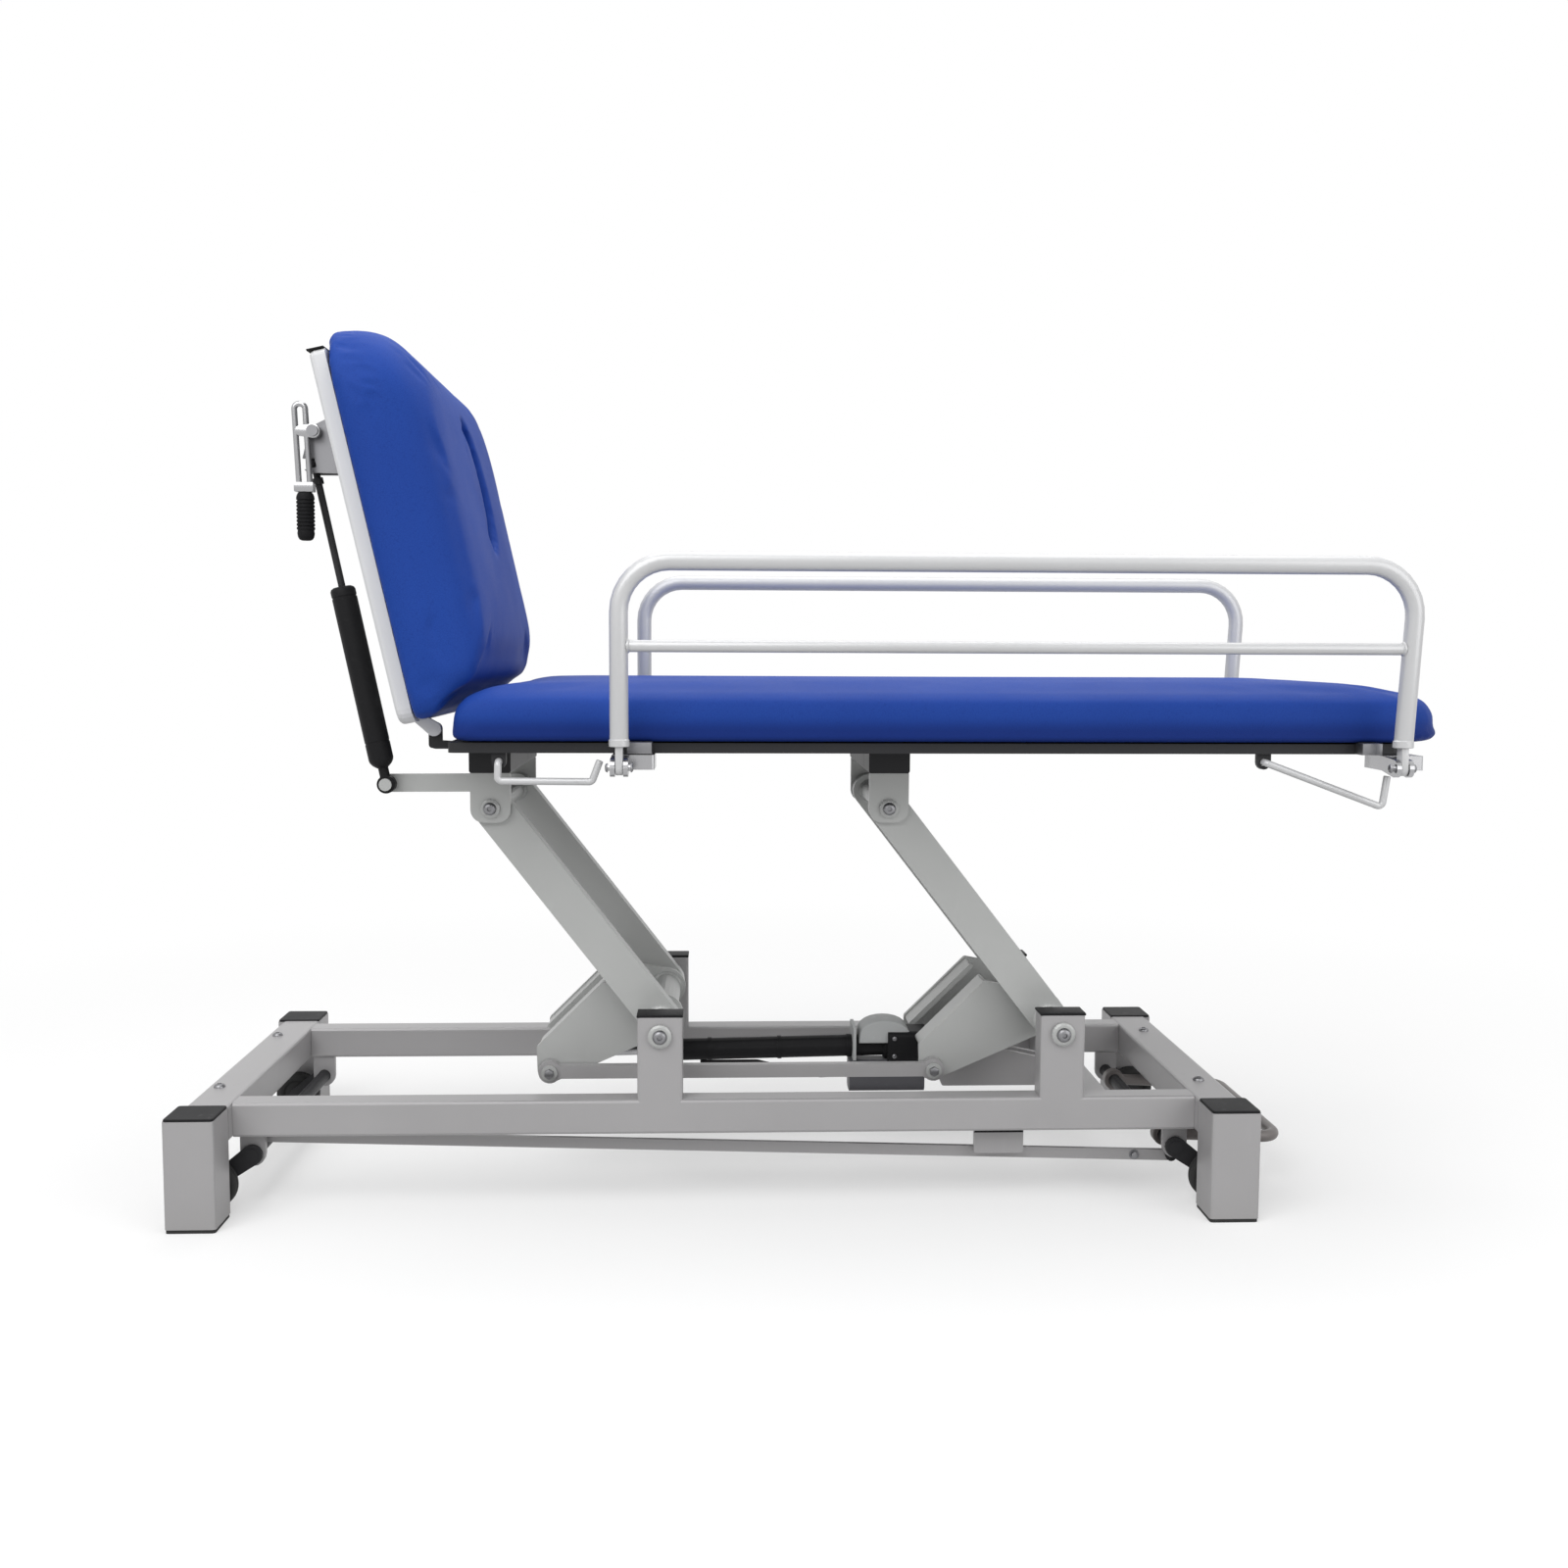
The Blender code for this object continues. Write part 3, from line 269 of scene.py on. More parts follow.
@dataclass(frozen=True)
class Paint:
    """Sprayed paint on steel: fine orange peel, slow clouds, dull scuffs and a little dust low down."""

    name: str
    colour: tuple
    metallic: float = 0.0
    rough: float = 0.38
    peel: float = 0.00012
    scuff: float = 0.10
    specular: float = 0.35

    def material(self) -> bpy.types.Material:
        """Builds the paint.

        Returns:
            The material.
        """
        shade = Shade(self.name)
        cloud = shade.noise(6.0, 3.0)
        scuffs = shade.noise(55.0, 6.0, (1.0, 1.0, 0.25)).step(0.60, 0.78)
        dust = 1.0 - shade.height().step(0.0, 0.06)
        light = tuple(min(1.0, c * 1.06 + 0.004) for c in self.colour)
        dark = tuple(c * 0.93 for c in self.colour)
        bared = tuple(min(1.0, c * 1.25 + 0.02) for c in self.colour)
        colour = shade.mix(cloud, dark, light)
        colour = shade.mix(scuffs * self.scuff, colour, bared)
        colour = shade.mix(dust * 0.12, colour, (0.30, 0.29, 0.27))
        rough = self.rough + (cloud - 0.5) * 0.10 + scuffs * 0.12 + dust * 0.15
        normal = shade.bump(shade.noise(420.0, 2.0), 0.35, self.peel)
        gloss = {"Specular IOR Level": self.specular, "Coat Weight": 0.05, "Coat Roughness": 0.3}
        return shade.finish(
            {"Base Color": colour, "Roughness": rough, "Normal": normal},
            {"Metallic": self.metallic, **gloss},
        )


@dataclass(frozen=True)
class Steel:
    """Bright turned or drawn steel with fine lines along one axis."""

    name: str
    colour: tuple
    rough: float = 0.20
    lines: tuple = (1.0, 1.0, 1.0)

    def material(self) -> bpy.types.Material:
        """Builds the steel.

        Returns:
            The material.
        """
        shade = Shade(self.name)
        drawn = shade.noise(900.0, 3.0, self.lines)
        stain = shade.noise(24.0, 4.0)
        colour = shade.mix(stain.step(0.45, 0.75) * 0.25, self.colour, tuple(c * 0.72 for c in self.colour))
        rough = self.rough + (drawn - 0.5) * 0.14 + stain.step(0.5, 0.8) * 0.12
        normal = shade.bump(drawn, 0.20, 0.00004)
        return shade.finish({"Base Color": colour, "Roughness": rough, "Normal": normal}, {"Metallic": 1.0})


@dataclass(frozen=True)
class Plastic:
    """Moulded plastic or rubber with a fine grain and paler rubbed spots."""

    name: str
    colour: tuple
    rough: float = 0.48
    grain: float = 0.00010
    scale: float = 1500.0
    specular: float = 0.09

    def material(self) -> bpy.types.Material:
        """Builds the plastic.

        Returns:
            The material.
        """
        shade = Shade(self.name)
        cloud = shade.noise(14.0, 4.0)
        rubbed = shade.noise(90.0, 5.0).step(0.58, 0.75)
        pale = tuple(min(1.0, c * 1.5 + 0.012) for c in self.colour)
        colour = shade.mix(cloud * 0.35 + rubbed * 0.25, self.colour, pale)
        rough = self.rough + (cloud - 0.5) * 0.14 - rubbed * 0.08
        normal = shade.bump(shade.noise(self.scale, 2.0), 0.45, self.grain)
        varied = {"Base Color": colour, "Roughness": rough, "Normal": normal}
        return shade.finish(varied, {"Specular IOR Level": self.specular})


@dataclass(frozen=True)
class Vinyl:
    """Upholstery vinyl: leather grain in small cells, dull sheen, slight tone drift, painted shade
    darkening the lower edge.
    """

    name: str
    colour: tuple
    pale: tuple
    deep: tuple
    rough: float = 0.58
    grain: float = 0.00022
    low_shade_band: tuple = (0.688, 0.714)

    def material(self) -> bpy.types.Material:
        """Builds the vinyl.

        Returns:
            The material.
        """
        shade = Shade(self.name)
        drift = shade.noise(3.2, 3.0)
        fine = shade.noise(380.0, 3.0)
        cell = shade.cells(620.0)
        crease = shade.cells(330.0, "DISTANCE_TO_EDGE").step(0.0, 0.10)
        colour = shade.mix(drift, self.deep, self.pale)
        colour = shade.mix(0.55, colour, self.colour)
        # painted shade: the creases of the grain are darkened toward the deep tone
        colour = shade.mix((1.0 - crease) * 0.30, colour, self.deep)
        # painted shade: darker towards the lower edge of the pads, standing in for the shadow under them
        colour = shade.mix((1.0 - shade.height().step(*self.low_shade_band)) * 0.80, colour, self.deep)
        worn = shade.noise(9.0, 5.0)
        rough = self.rough + (worn - 0.5) * 0.16 + (fine - 0.5) * 0.10
        relief = crease * 0.6 + cell * 0.25 + fine * 0.15
        slow = shade.bump(shade.noise(14.0, 2.0), 0.25, 0.0012)
        grain = shade.add(
            "ShaderNodeBump",
            {},
            {"Height": relief, "Strength": 0.40, "Distance": self.grain, "Normal": slow},
        )
        return shade.finish(
            {"Base Color": colour, "Roughness": rough, "Normal": shade.value(grain, 0)},
            {"Specular IOR Level": 0.10},
        )


class Finish(Enum):
    """Finishes of the couch; the value is the recipe of the material."""

    ARM_GREY = Paint("arm_grey_paint", (0.455, 0.463, 0.455), 0.15)
    BASE_GREY = Paint("base_grey_paint", (0.385, 0.378, 0.383), 0.15)
    RAIL_SILVER = Paint("rail_silver_paint", (0.575, 0.578, 0.585), 0.15, 0.30, 0.00008, 0.06)
    FRAME_BLACK = Paint("frame_black_paint", (0.026, 0.026, 0.028), 0.0, 0.48, 0.00012, 0.10, 0.16)
    PANEL_GREY = Paint("panel_grey_paint", (0.67, 0.675, 0.69), 0.0, 0.42, 0.00015, 0.05)
    BRIGHT_STEEL = Steel("turned_steel", (0.40, 0.40, 0.41), 0.24)
    BOLT_STEEL = Steel("bolt_zinc_steel", (0.24, 0.24, 0.25), 0.40)
    BLACK_PLASTIC = Plastic("black_moulded_plastic", (0.012, 0.012, 0.013))
    GRIP_RUBBER = Plastic("grip_rubber", (0.010, 0.010, 0.011), 0.62, 0.00020, 900.0)
    FOOT_RUBBER = Plastic("foot_rubber", (0.016, 0.016, 0.016), 0.75, 0.00025, 700.0)
    MOTOR_GREY = Plastic("motor_housing", (0.11, 0.11, 0.12), 0.45, 0.00012, 1200.0)
    COVER_GREY = Plastic("gear_cover", (0.40, 0.41, 0.41), 0.45, 0.00012, 1200.0)
    PEDAL_GREY = Paint("pedal_paint", (0.17, 0.155, 0.15), 0.15)
    LEAD_BLACK = Plastic("lead_sheath", (0.014, 0.014, 0.015), 0.40, 0.00005, 800.0)
    BLUE_VINYL = Vinyl("pad_vinyl", (0.0155, 0.061, 0.330), (0.0195, 0.074, 0.375), (0.007, 0.022, 0.150))

    @property
    def material(self) -> bpy.types.Material:
        """Material of the finish, made at its first use."""
        found = bpy.data.materials.get(self.value.name)
        return found or self.value.material()


def rectangle(across: Point, up: Point) -> list:
    """Corners of a rectangle.

    Args:
        across: Its range along the first axis.
        up: Its range along the second axis.

    Returns:
        The four corners in order.
    """
    (left, right), (low, high) = across, up
    return [(left, low), (right, low), (right, high), (left, high)]


class Form:
    """A mesh in the making, in the row frame, and the piece that is made of it."""

    def __init__(self, name: str, body: str, slot: str, finish: Finish) -> None:
        """Starts an empty mesh.

        Args:
            name: Name of the piece.
            body: CAD body that it rides on.
            slot: Material slot of the record.
            finish: Its finish.
        """
        self.name = name
        self.body = body
        self.slot = slot
        self.finish = finish
        self.bm = bmesh.new()

    @staticmethod
    def _facing(centre: Vector, along: Vector) -> Matrix:
        """Frame at a point with its z axis along a direction."""
        return Matrix.Translation(centre) @ Vector(UP).rotation_difference(along).to_matrix().to_4x4()

    def _loop(self, centre: Vector, along: Vector, radius: float, sides: int) -> list:
        """Adds a ring of edges across a direction.

        Args:
            centre: Middle of the ring.
            along: Direction that the ring faces.
            radius: Its radius.
            sides: Its number of edges.

        Returns:
            The edges of the ring.
        """
        facing = self._facing(centre, along)
        made = bmesh.ops.create_circle(self.bm, segments=sides, radius=radius, matrix=facing)
        ring = set(made["verts"])
        return [e for e in self.bm.edges if e.verts[0] in ring and e.verts[1] in ring]

    def _pull(self, loop: list, move: Vector) -> list:
        """Extrudes a ring along a vector.

        Args:
            loop: Edges of the ring.
            move: The vector.

        Returns:
            The edges of the new ring.
        """
        made = bmesh.ops.extrude_edge_only(self.bm, edges=loop)["geom"]
        fresh = {v for v in made if isinstance(v, bmesh.types.BMVert)}
        bmesh.ops.translate(self.bm, verts=list(fresh), vec=move)
        return [e for e in made if isinstance(e, bmesh.types.BMEdge) and set(e.verts) <= fresh]

    def tube(self, path: Sequence[Point], radius: float, bend: float, sides: int = 28) -> "Form":
        """Adds a round bar along a path, with its corners bent and its ends rounded.

        Args:
            path: Corner points.
            radius: Radius of the bar.
            bend: Radius of its middle line at a corner.
            sides: Edges round the bar.

        Returns:
            The form itself.
        """
        stops = [Vector(p) for p in path]
        along = (stops[1] - stops[0]).normalized()
        here = stops[0]
        loop = self._loop(here, along, radius, sides)
        ends = [loop]
        for at, corner in enumerate(stops[1:-1], 1):
            ahead = (stops[at + 1] - corner).normalized()
            turn = along.angle(ahead)
            back = bend * math.tan(turn / 2)
            loop = self._pull(loop, corner - along * back - here)
            axis = along.cross(ahead).normalized()
            centre = corner - along * back + axis.cross(along).normalized() * bend
            steps = max(4, round(turn * 8 / math.pi * 2))
            swept = bmesh.ops.spin(
                self.bm, geom=loop, cent=centre, axis=axis, angle=turn, steps=steps, use_duplicate=False
            )
            loop = [e for e in swept["geom_last"] if isinstance(e, bmesh.types.BMEdge)]
            here = corner + ahead * back
            along = ahead
        ends.append(self._pull(loop, stops[-1] - here))
        faces = [bmesh.ops.edgeloop_fill(self.bm, edges=ring)["faces"][0] for ring in ends]
        rims = [e for face in faces for e in face.edges]
        self._round(rims, radius * 0.3, 3)
        return self

    def turned(self, profile: Sequence[Point], centre: Point, along: Point, steps: int = 40) -> "Form":
        """Adds a turned form.

        Args:
            profile: Points (height along the axis, radius); its ends lie on the axis or meet in a ring.
            centre: Point on the axis at height 0.
            along: Direction of the axis.
            steps: Faces round the form.

        Returns:
            The form itself.
        """
        axis = Vector(along).normalized()
        side = axis.orthogonal().normalized()
        spots = [self.bm.verts.new(Vector(centre) + axis * h + side * r) for h, r in profile]
        edges = [self.bm.edges.new(pair) for pair in zip(spots, spots[1:])]
        bmesh.ops.spin(
            self.bm,
            geom=spots + edges,
            cent=Vector(centre),
            axis=axis,
            angle=math.tau,
            steps=steps,
            use_merge=True,
            use_duplicate=False,
        )
        return self

    def sleeve(
        self,
        centre: Point,
        along: Point,
        half: float,
        radius: float,
        edge: float,
        bore: float = 0.0,
        steps: int = 40,
    ) -> "Form":
        """Adds a round pin or, with a bore, a ring, with chamfered rims.

        Args:
            centre: Its middle.
            along: Direction of its axis.
            half: Half of its length.
            radius: Its radius.
            edge: Leg of the chamfer.
            bore: Radius of the hole, or 0.
            steps: Faces round it.

        Returns:
            The form itself.
        """
        profile = [(-half, bore), (-half, radius - edge), (edge - half, radius)]
        profile += [(-h, r) for h, r in reversed(profile)]
        if bore:
            profile.append(profile[0])
        return self.turned(profile, centre, along, steps)

    def slab(self, outline: Sequence[Point], move: Point, edge: float = 0.0, segments: int = 2) -> "Form":
        """Adds a flat plate with rounded edges.

        Args:
            outline: Corner points of one face.
            move: Vector to the other face.
            edge: Radius of its rounded edges.
            segments: Steps of the rounding.

        Returns:
            The form itself.
        """
        face = self.bm.faces.new([self.bm.verts.new(p) for p in outline])
        made = bmesh.ops.extrude_face_region(self.bm, geom=[face])["geom"]
        fresh = [v for v in made if isinstance(v, bmesh.types.BMVert)]
        bmesh.ops.translate(self.bm, verts=fresh, vec=Vector(move))
        if edge:
            tops = [f for f in made if isinstance(f, bmesh.types.BMFace)]
            rims = {e for f in [face, *tops] if f.is_valid for e in f.edges}
            self._round(list(rims), edge, segments)
        return self

    def plate(self, outline: Sequence[Point], span: Point, edge: float, segments: int = 2) -> "Form":
        """Adds a slab that is drawn in the side view.

        Args:
            outline: Corner points as x and z.
            span: Its range in y.
            edge: Radius of its rounded edges.
            segments: Steps of the rounding.

        Returns:
            The form itself.
        """
        first, last = span
        return self.slab([(x, first, z) for x, z in outline], (0.0, last - first, 0.0), edge, segments)

    def _round(self, edges: list, offset: float, segments: int) -> None:
        """Rounds edges of the form.

        Args:
            edges: The edges.
            offset: Radius of the rounding.
            segments: Its steps.
        """
        bmesh.ops.bevel(
            self.bm,
            geom=edges,
            offset=offset,
            segments=segments,
            profile=0.5,
            affect="EDGES",
            material=-1,
        )

    def bolt(self, centre: Point, along: Point, width: float, washer: float = 0.0) -> "Form":
        """Adds a hexagon head with a chamfered top, on a washer where it has one.

        Args:
            centre: Point on the surface under it.
            along: Direction that it faces.
            width: Width across its flats.
            washer: Radius of the washer, or 0.

        Returns:
            The form itself.
        """
        axis = Vector(along).normalized()
        at = Vector(centre)
        if washer:
            thick = width * 0.12
            ring = ((0.0, 0.0), (0.0, washer), (thick * 0.8, washer), (thick, washer * 0.96), (thick, 0.0))
            self.turned(ring, at, axis, 32)
            at = at + axis * thick
        radius = width / math.sqrt(3.0)
        tall = width * 0.55
        made = bmesh.ops.create_cone(
            self.bm,
            cap_ends=True,
            segments=6,
            radius1=radius,
            radius2=radius,
            depth=tall,
            matrix=self._facing(at + axis * tall / 2, axis),
        )
        edges = {e for v in made["verts"] for e in v.link_edges}
        self._round(list(edges), width * 0.06, 2)
        return self

    def dome(self, centre: Point, along: Point, radius: float) -> "Form":
        """Adds a button head with a round dish for its socket.

        Args:
            centre: Point on the surface under it.
            along: Direction that it faces.
            radius: Its radius.

        Returns:
            The form itself.
        """
        tall = radius * 0.58
        profile = [(0.0, 0.0), (0.0, radius)]
        for angle in (0.25, 0.6, 0.95, 1.25, math.pi / 2):
            profile.append((tall * math.sin(angle), radius * (0.36 + 0.64 * math.cos(angle))))
        profile += [(tall * 0.45, radius * 0.32), (tall * 0.45, 0.0)]
        return self.turned(profile, centre, along, 32)

    def mirrored(self) -> "Form":
        """Adds the mirror image across the couch's middle plane.

        Returns:
            The form itself.
        """
        twin = bmesh.ops.duplicate(self.bm, geom=[*self.bm.verts, *self.bm.edges, *self.bm.faces])["geom"]
        fresh = [v for v in twin if isinstance(v, bmesh.types.BMVert)]
        bmesh.ops.scale(self.bm, vec=(1.0, -1.0, 1.0), verts=fresh)
        return self

    def piece(self, *stands_for: str, smooth: float = 35.0) -> bpy.types.Object:
        """Turns the mesh into a piece that rides on its body.

        Args:
            stands_for: CAD nodes that the piece replaces.
            smooth: Edges under this angle are shaded smooth, in degrees.

        Returns:
            The piece.
        """
        bmesh.ops.remove_doubles(self.bm, verts=self.bm.verts, dist=1e-5)
        bmesh.ops.recalc_face_normals(self.bm, faces=self.bm.faces)
        mesh = bpy.data.meshes.new(self.name)
        self.bm.to_mesh(mesh)
        self.bm.free()
        mesh.shade_smooth()
        mesh.set_sharp_from_angle(angle=math.radians(smooth))
        mesh.materials.append(self.finish.material)
        made = bpy.data.objects.new(self.name, mesh)
        bpy.context.scene.collection.objects.link(made)
        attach(made, self.body)
        if stands_for:
            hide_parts(*stands_for)
        log.info("%s: %d faces on %s", self.name, len(mesh.polygons), self.body)
        return made


@dataclass
class Cushion:
    """A foam pad in vinyl, swollen from its CAD solid by a cloth simulation."""

    node: str
    body: str
    out: Point
    voxel: float
    shrink: float = 0.002
    cap: float = 0.006
    pressure: float = 4.0
    frames: int = 20
    held: float = 0.012
    ease: int = 6

    def _start(self) -> bpy.types.Object:
        """Copies the CAD solid as a slightly smaller closed form of even quads.

        Returns:
            The start of the pad.
        """
        bm = bmesh.new()
        bm.from_mesh(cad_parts[self.node].data)
        bmesh.ops.remove_doubles(bm, verts=bm.verts, dist=1e-5)
        bmesh.ops.recalc_face_normals(bm, faces=bm.faces)
        bm.normal_update()
        moves = [v.normal * self.shrink for v in bm.verts]
        for vert, move in zip(bm.verts, moves):
            vert.co -= move
        mesh = bpy.data.meshes.new(self.node + "_vinyl")
        bm.to_mesh(mesh)
        bm.free()
        made = bpy.data.objects.new(mesh.name, mesh)
        bpy.context.scene.collection.objects.link(made)
        remesh = made.modifiers.new("even", "REMESH")
        remesh.mode = "VOXEL"
        remesh.voxel_size = self.voxel
        ease = made.modifiers.new("ease", "SMOOTH")
        ease.factor = 0.5
        ease.iterations = self.ease
        self._settle(made)
        return made

    @staticmethod
    def _settle(made: bpy.types.Object) -> None:
        """Applies every modifier of a piece to its mesh.

        Args:
            made: The piece.
        """
        graph = bpy.context.evaluated_depsgraph_get()
        fresh = bpy.data.meshes.new_from_object(made.evaluated_get(graph))
        fresh.name = made.name
        made.modifiers.clear()
        made.data = fresh

    def _heights(self, mesh: bpy.types.Mesh) -> list:
        """Height of each vertex over the face that the pad rests on.

        Args:
            mesh: Mesh of the pad.

        Returns:
            The heights, in the order of the vertices.
        """
        up = Vector(self.out).normalized()
        rise = [v.co.dot(up) for v in mesh.vertices]
        low = min(rise)
        return [r - low for r in rise]

    def _swell(self, made: bpy.types.Object) -> None:
        """Blows the pad up while its back stays where it rests, and caps how far a point moves.

        Args:
            made: The pad.
        """
        start = [v.co.copy() for v in made.data.vertices]
        group = made.vertex_groups.new(name="held")
        for index, rise in enumerate(self._heights(made.data)):
            if rise < self.held:
                group.add([index], 1.0, "REPLACE")
        cloth = made.modifiers.new("foam", "CLOTH")
        cloth.settings.quality = 4
        cloth.settings.use_pressure = True
        cloth.settings.uniform_pressure_force = self.pressure
        cloth.settings.tension_stiffness = 12.0
        cloth.settings.compression_stiffness = 12.0
        cloth.settings.bending_stiffness = 1.5
        cloth.settings.vertex_group_mass = group.name
        cloth.settings.effector_weights.gravity = 0.0
        cloth.point_cache.frame_start = 1
        cloth.point_cache.frame_end = self.frames
        scene = bpy.context.scene
        for step in range(1, self.frames + 1):
            scene.frame_set(step)
        self._settle(made)
        scene.frame_set(1)
        made.vertex_groups.clear()
        for vert, before in zip(made.data.vertices, start):
            move = vert.co - before
            if move.length > self.cap:
                vert.co = before + move.normalized() * self.cap

    def _dress(self, made: bpy.types.Object) -> None:
        """Rounds the mesh once more and gives it its vinyl.

        Args:
            made: The pad.
        """
        rounding = made.modifiers.new("round", "SUBSURF")
        rounding.levels = 1
        rounding.render_levels = 1
        self._settle(made)
        made.data.shade_smooth()
        made.data.materials.clear()
        made.data.materials.append(Finish.BLUE_VINYL.material)

    def build(self) -> bpy.types.Object:
        """Makes the pad in its solid's place.

        Returns:
            The pad.
        """
        made = self._start()
        self._swell(made)
        self._dress(made)
        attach(made, self.body)
        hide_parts(self.node)
        log.info("%s: %d faces on %s", made.name, len(made.data.polygons), self.body)
        return made


@dataclass
class GuardRail:
    """A folding guard rail of bent tube with a thinner middle bar, welded feet and tongues."""

    side: str
    sign: int
    head_x: float = -0.266
    foot_x: float = 0.801
    lean: float = 0.013
    across: float = 0.370
    top: float = 0.917
    middle: float = 0.8057
    low: float = 0.674
    pivot: float = 0.645
    bend: float = 0.067
    radius: float = 0.0125
    thin: float = 0.008

    def build(self) -> bpy.types.Object:
        """Bends the rail.

        Returns:
            The piece that stands for the rail.
        """
        y = self.sign * self.across
        name = f"guard_rail_{self.side}"
        form = Form(name + "_tube", f"guard_{self.side}", "rail_silver", Finish.RAIL_SILVER)
        end = self.foot_x - self.lean
        path = [(self.head_x, y, self.low), (self.head_x, y, self.top)]
        path += [(self.foot_x, y, self.top), (end, y, self.low)]
        form.tube(path, self.radius, self.bend)
        share = (self.top - self.middle) / (self.top - self.low)
        far = self.foot_x - self.lean * share
        form.tube([(self.head_x, y, self.middle), (far, y, self.middle)], self.thin, self.bend, 24)
        for x, way in ((self.head_x, 1.0), (far, -1.0)):
            self._weld(form, (x + way * (self.radius - 0.0015), y, self.middle), way)
        for x in (self.head_x, end):
            self._foot(form, x, y)
        return form.piece(name)

    def _weld(self, form: Form, centre: Point, way: float) -> None:
        """Adds the bead round the end of the middle bar.

        Args:
            form: The rail.
            centre: Middle of the bead.
            way: Direction along the bar.
        """
        r = self.thin
        bead = [(0.0, r - 0.001), (0.0, r + 0.002), (0.0012, r + 0.0022)]
        bead += [(0.003, r + 0.0006), (0.0035, r - 0.001)]
        form.turned(bead, centre, (way, 0.0, 0.0), 28)

    def _foot(self, form: Form, x: float, y: float) -> None:
        """Adds the collar and the flat tongue at the lower end of a leg.

        Args:
            form: The rail.
            x: Middle of the leg.
            y: Middle of the rail.
        """
        r = self.radius
        collar = ((-0.001, 0.0), (-0.001, r), (0.0, r + 0.0012), (0.008, r + 0.0012), (0.010, r - 0.001))
        form.turned(collar, (x, y, self.low), UP, 32)
        outline = [(x - 0.005, y - 0.008, self.low + 0.004), (x - 0.005, y + 0.008, self.low + 0.004)]
        for step in range(9):
            angle = math.pi * step / 8
            outline.append((x - 0.005, y + 0.010 * math.cos(angle), self.pivot - 0.010 * math.sin(angle)))
        form.slab(outline, (0.010, 0.0, 0.0), 0.0012)


@dataclass
class Bail:
    """A bent wire handle under the near edge of the seat."""

    end: str
    pivot: Point
    bends: Sequence[Point]
    inside: float = -0.288
    across: float = -0.306
    radius: float = 0.005
    bend: float = 0.0062

    def build(self) -> bpy.types.Object:
        """Bends the wire.

        Returns:
            The piece that stands for the bail.
        """
        name = f"rail_bail_{self.end}"
        form = Form(name + "_wire", f"bail_{self.end}", "rail_silver", Finish.RAIL_SILVER)
        x, z = self.pivot
        path = [(x, self.inside, z), (x, self.across, z)]
        path += [(x + a, self.across, z + b) for a, b in self.bends]
        form.tube(path, self.radius, self.bend, 20)
        return form.piece(name)


@dataclass
class Strut:
    """Gas strut: black cylinder with rolled ends, blackened rod with a locknut, eye and cross pin."""

    low: Point = (-0.609, -0.185, 0.607)
    high: Point = (-0.702, -0.185, 1.057)
    radius: float = 0.0175
    rod: float = 0.005
    top: float = 0.286
    inner: float = 0.190
    eye: float = 0.013
    half_eye: float = 0.008

    def build(self) -> None:
        """Makes the cylinder and the rod."""
        low = Vector(self.low)
        way = (Vector(self.high) - low).normalized()
        r, top = self.radius, self.top
        mouth = self.rod + 0.0012
        sunk = r - 0.0007
        neck = [(0.011, 0.0), (0.011, 0.0072), (0.024, 0.0072), (0.026, 0.010)]
        shoulder = [(0.029, 0.0135), (0.033, r - 0.0012), (0.037, r)]
        low_groove = [(0.060, r), (0.0605, r - 0.0006), (0.0625, r - 0.0006), (0.063, r)]
        top_groove = [(top - 0.016, r), (top - 0.0155, sunk), (top - 0.0135, sunk), (top - 0.013, r)]
        rim = [(top - 0.005, r), (top - 0.002, r - 0.0015), (top, r - 0.005)]
        bore = [(top, mouth), (top - 0.012, mouth), (top - 0.012, 0.0)]
        form = Form("strut_cylinder_shell", "strut_cylinder", "black_plastic", Finish.BLACK_PLASTIC)
        form.turned(neck + shoulder + low_groove + top_groove + rim + bore, low, way, 48)
        form.sleeve(low, ACROSS, self.half_eye, self.eye, 0.001, 0.0062)
        form.piece("strut_cylinder")
        self._rod(low, way)

    def _rod(self, low: Vector, way: Vector) -> None:
        """Makes the rod with its locknut, eye and cross pin.

        Args:
            low: Lower eye of the strut.
            way: Direction of the strut.
        """
        high = Vector(self.high)
        length = (high - low).length
        form = Form("strut_rod_steel", "strut_rod", "frame_black", Finish.FRAME_BLACK)
        stem = [(self.inner, 0.0), (self.inner, self.rod - 0.0005), (self.inner + 0.0005, self.rod)]
        stem += [(length - 0.028, self.rod), (length - 0.0275, 0.0075), (length - 0.019, 0.0075)]
        stem += [(length - 0.0185, self.rod), (length - 0.004, self.rod), (length - 0.004, 0.0)]
        form.turned(stem, low, way, 32)
        form.sleeve(high, ACROSS, 0.007, 0.009, 0.001)
        form.sleeve(high, ACROSS, 0.020, 0.0045, 0.0007, steps=28)
        form.piece("strut_rod")


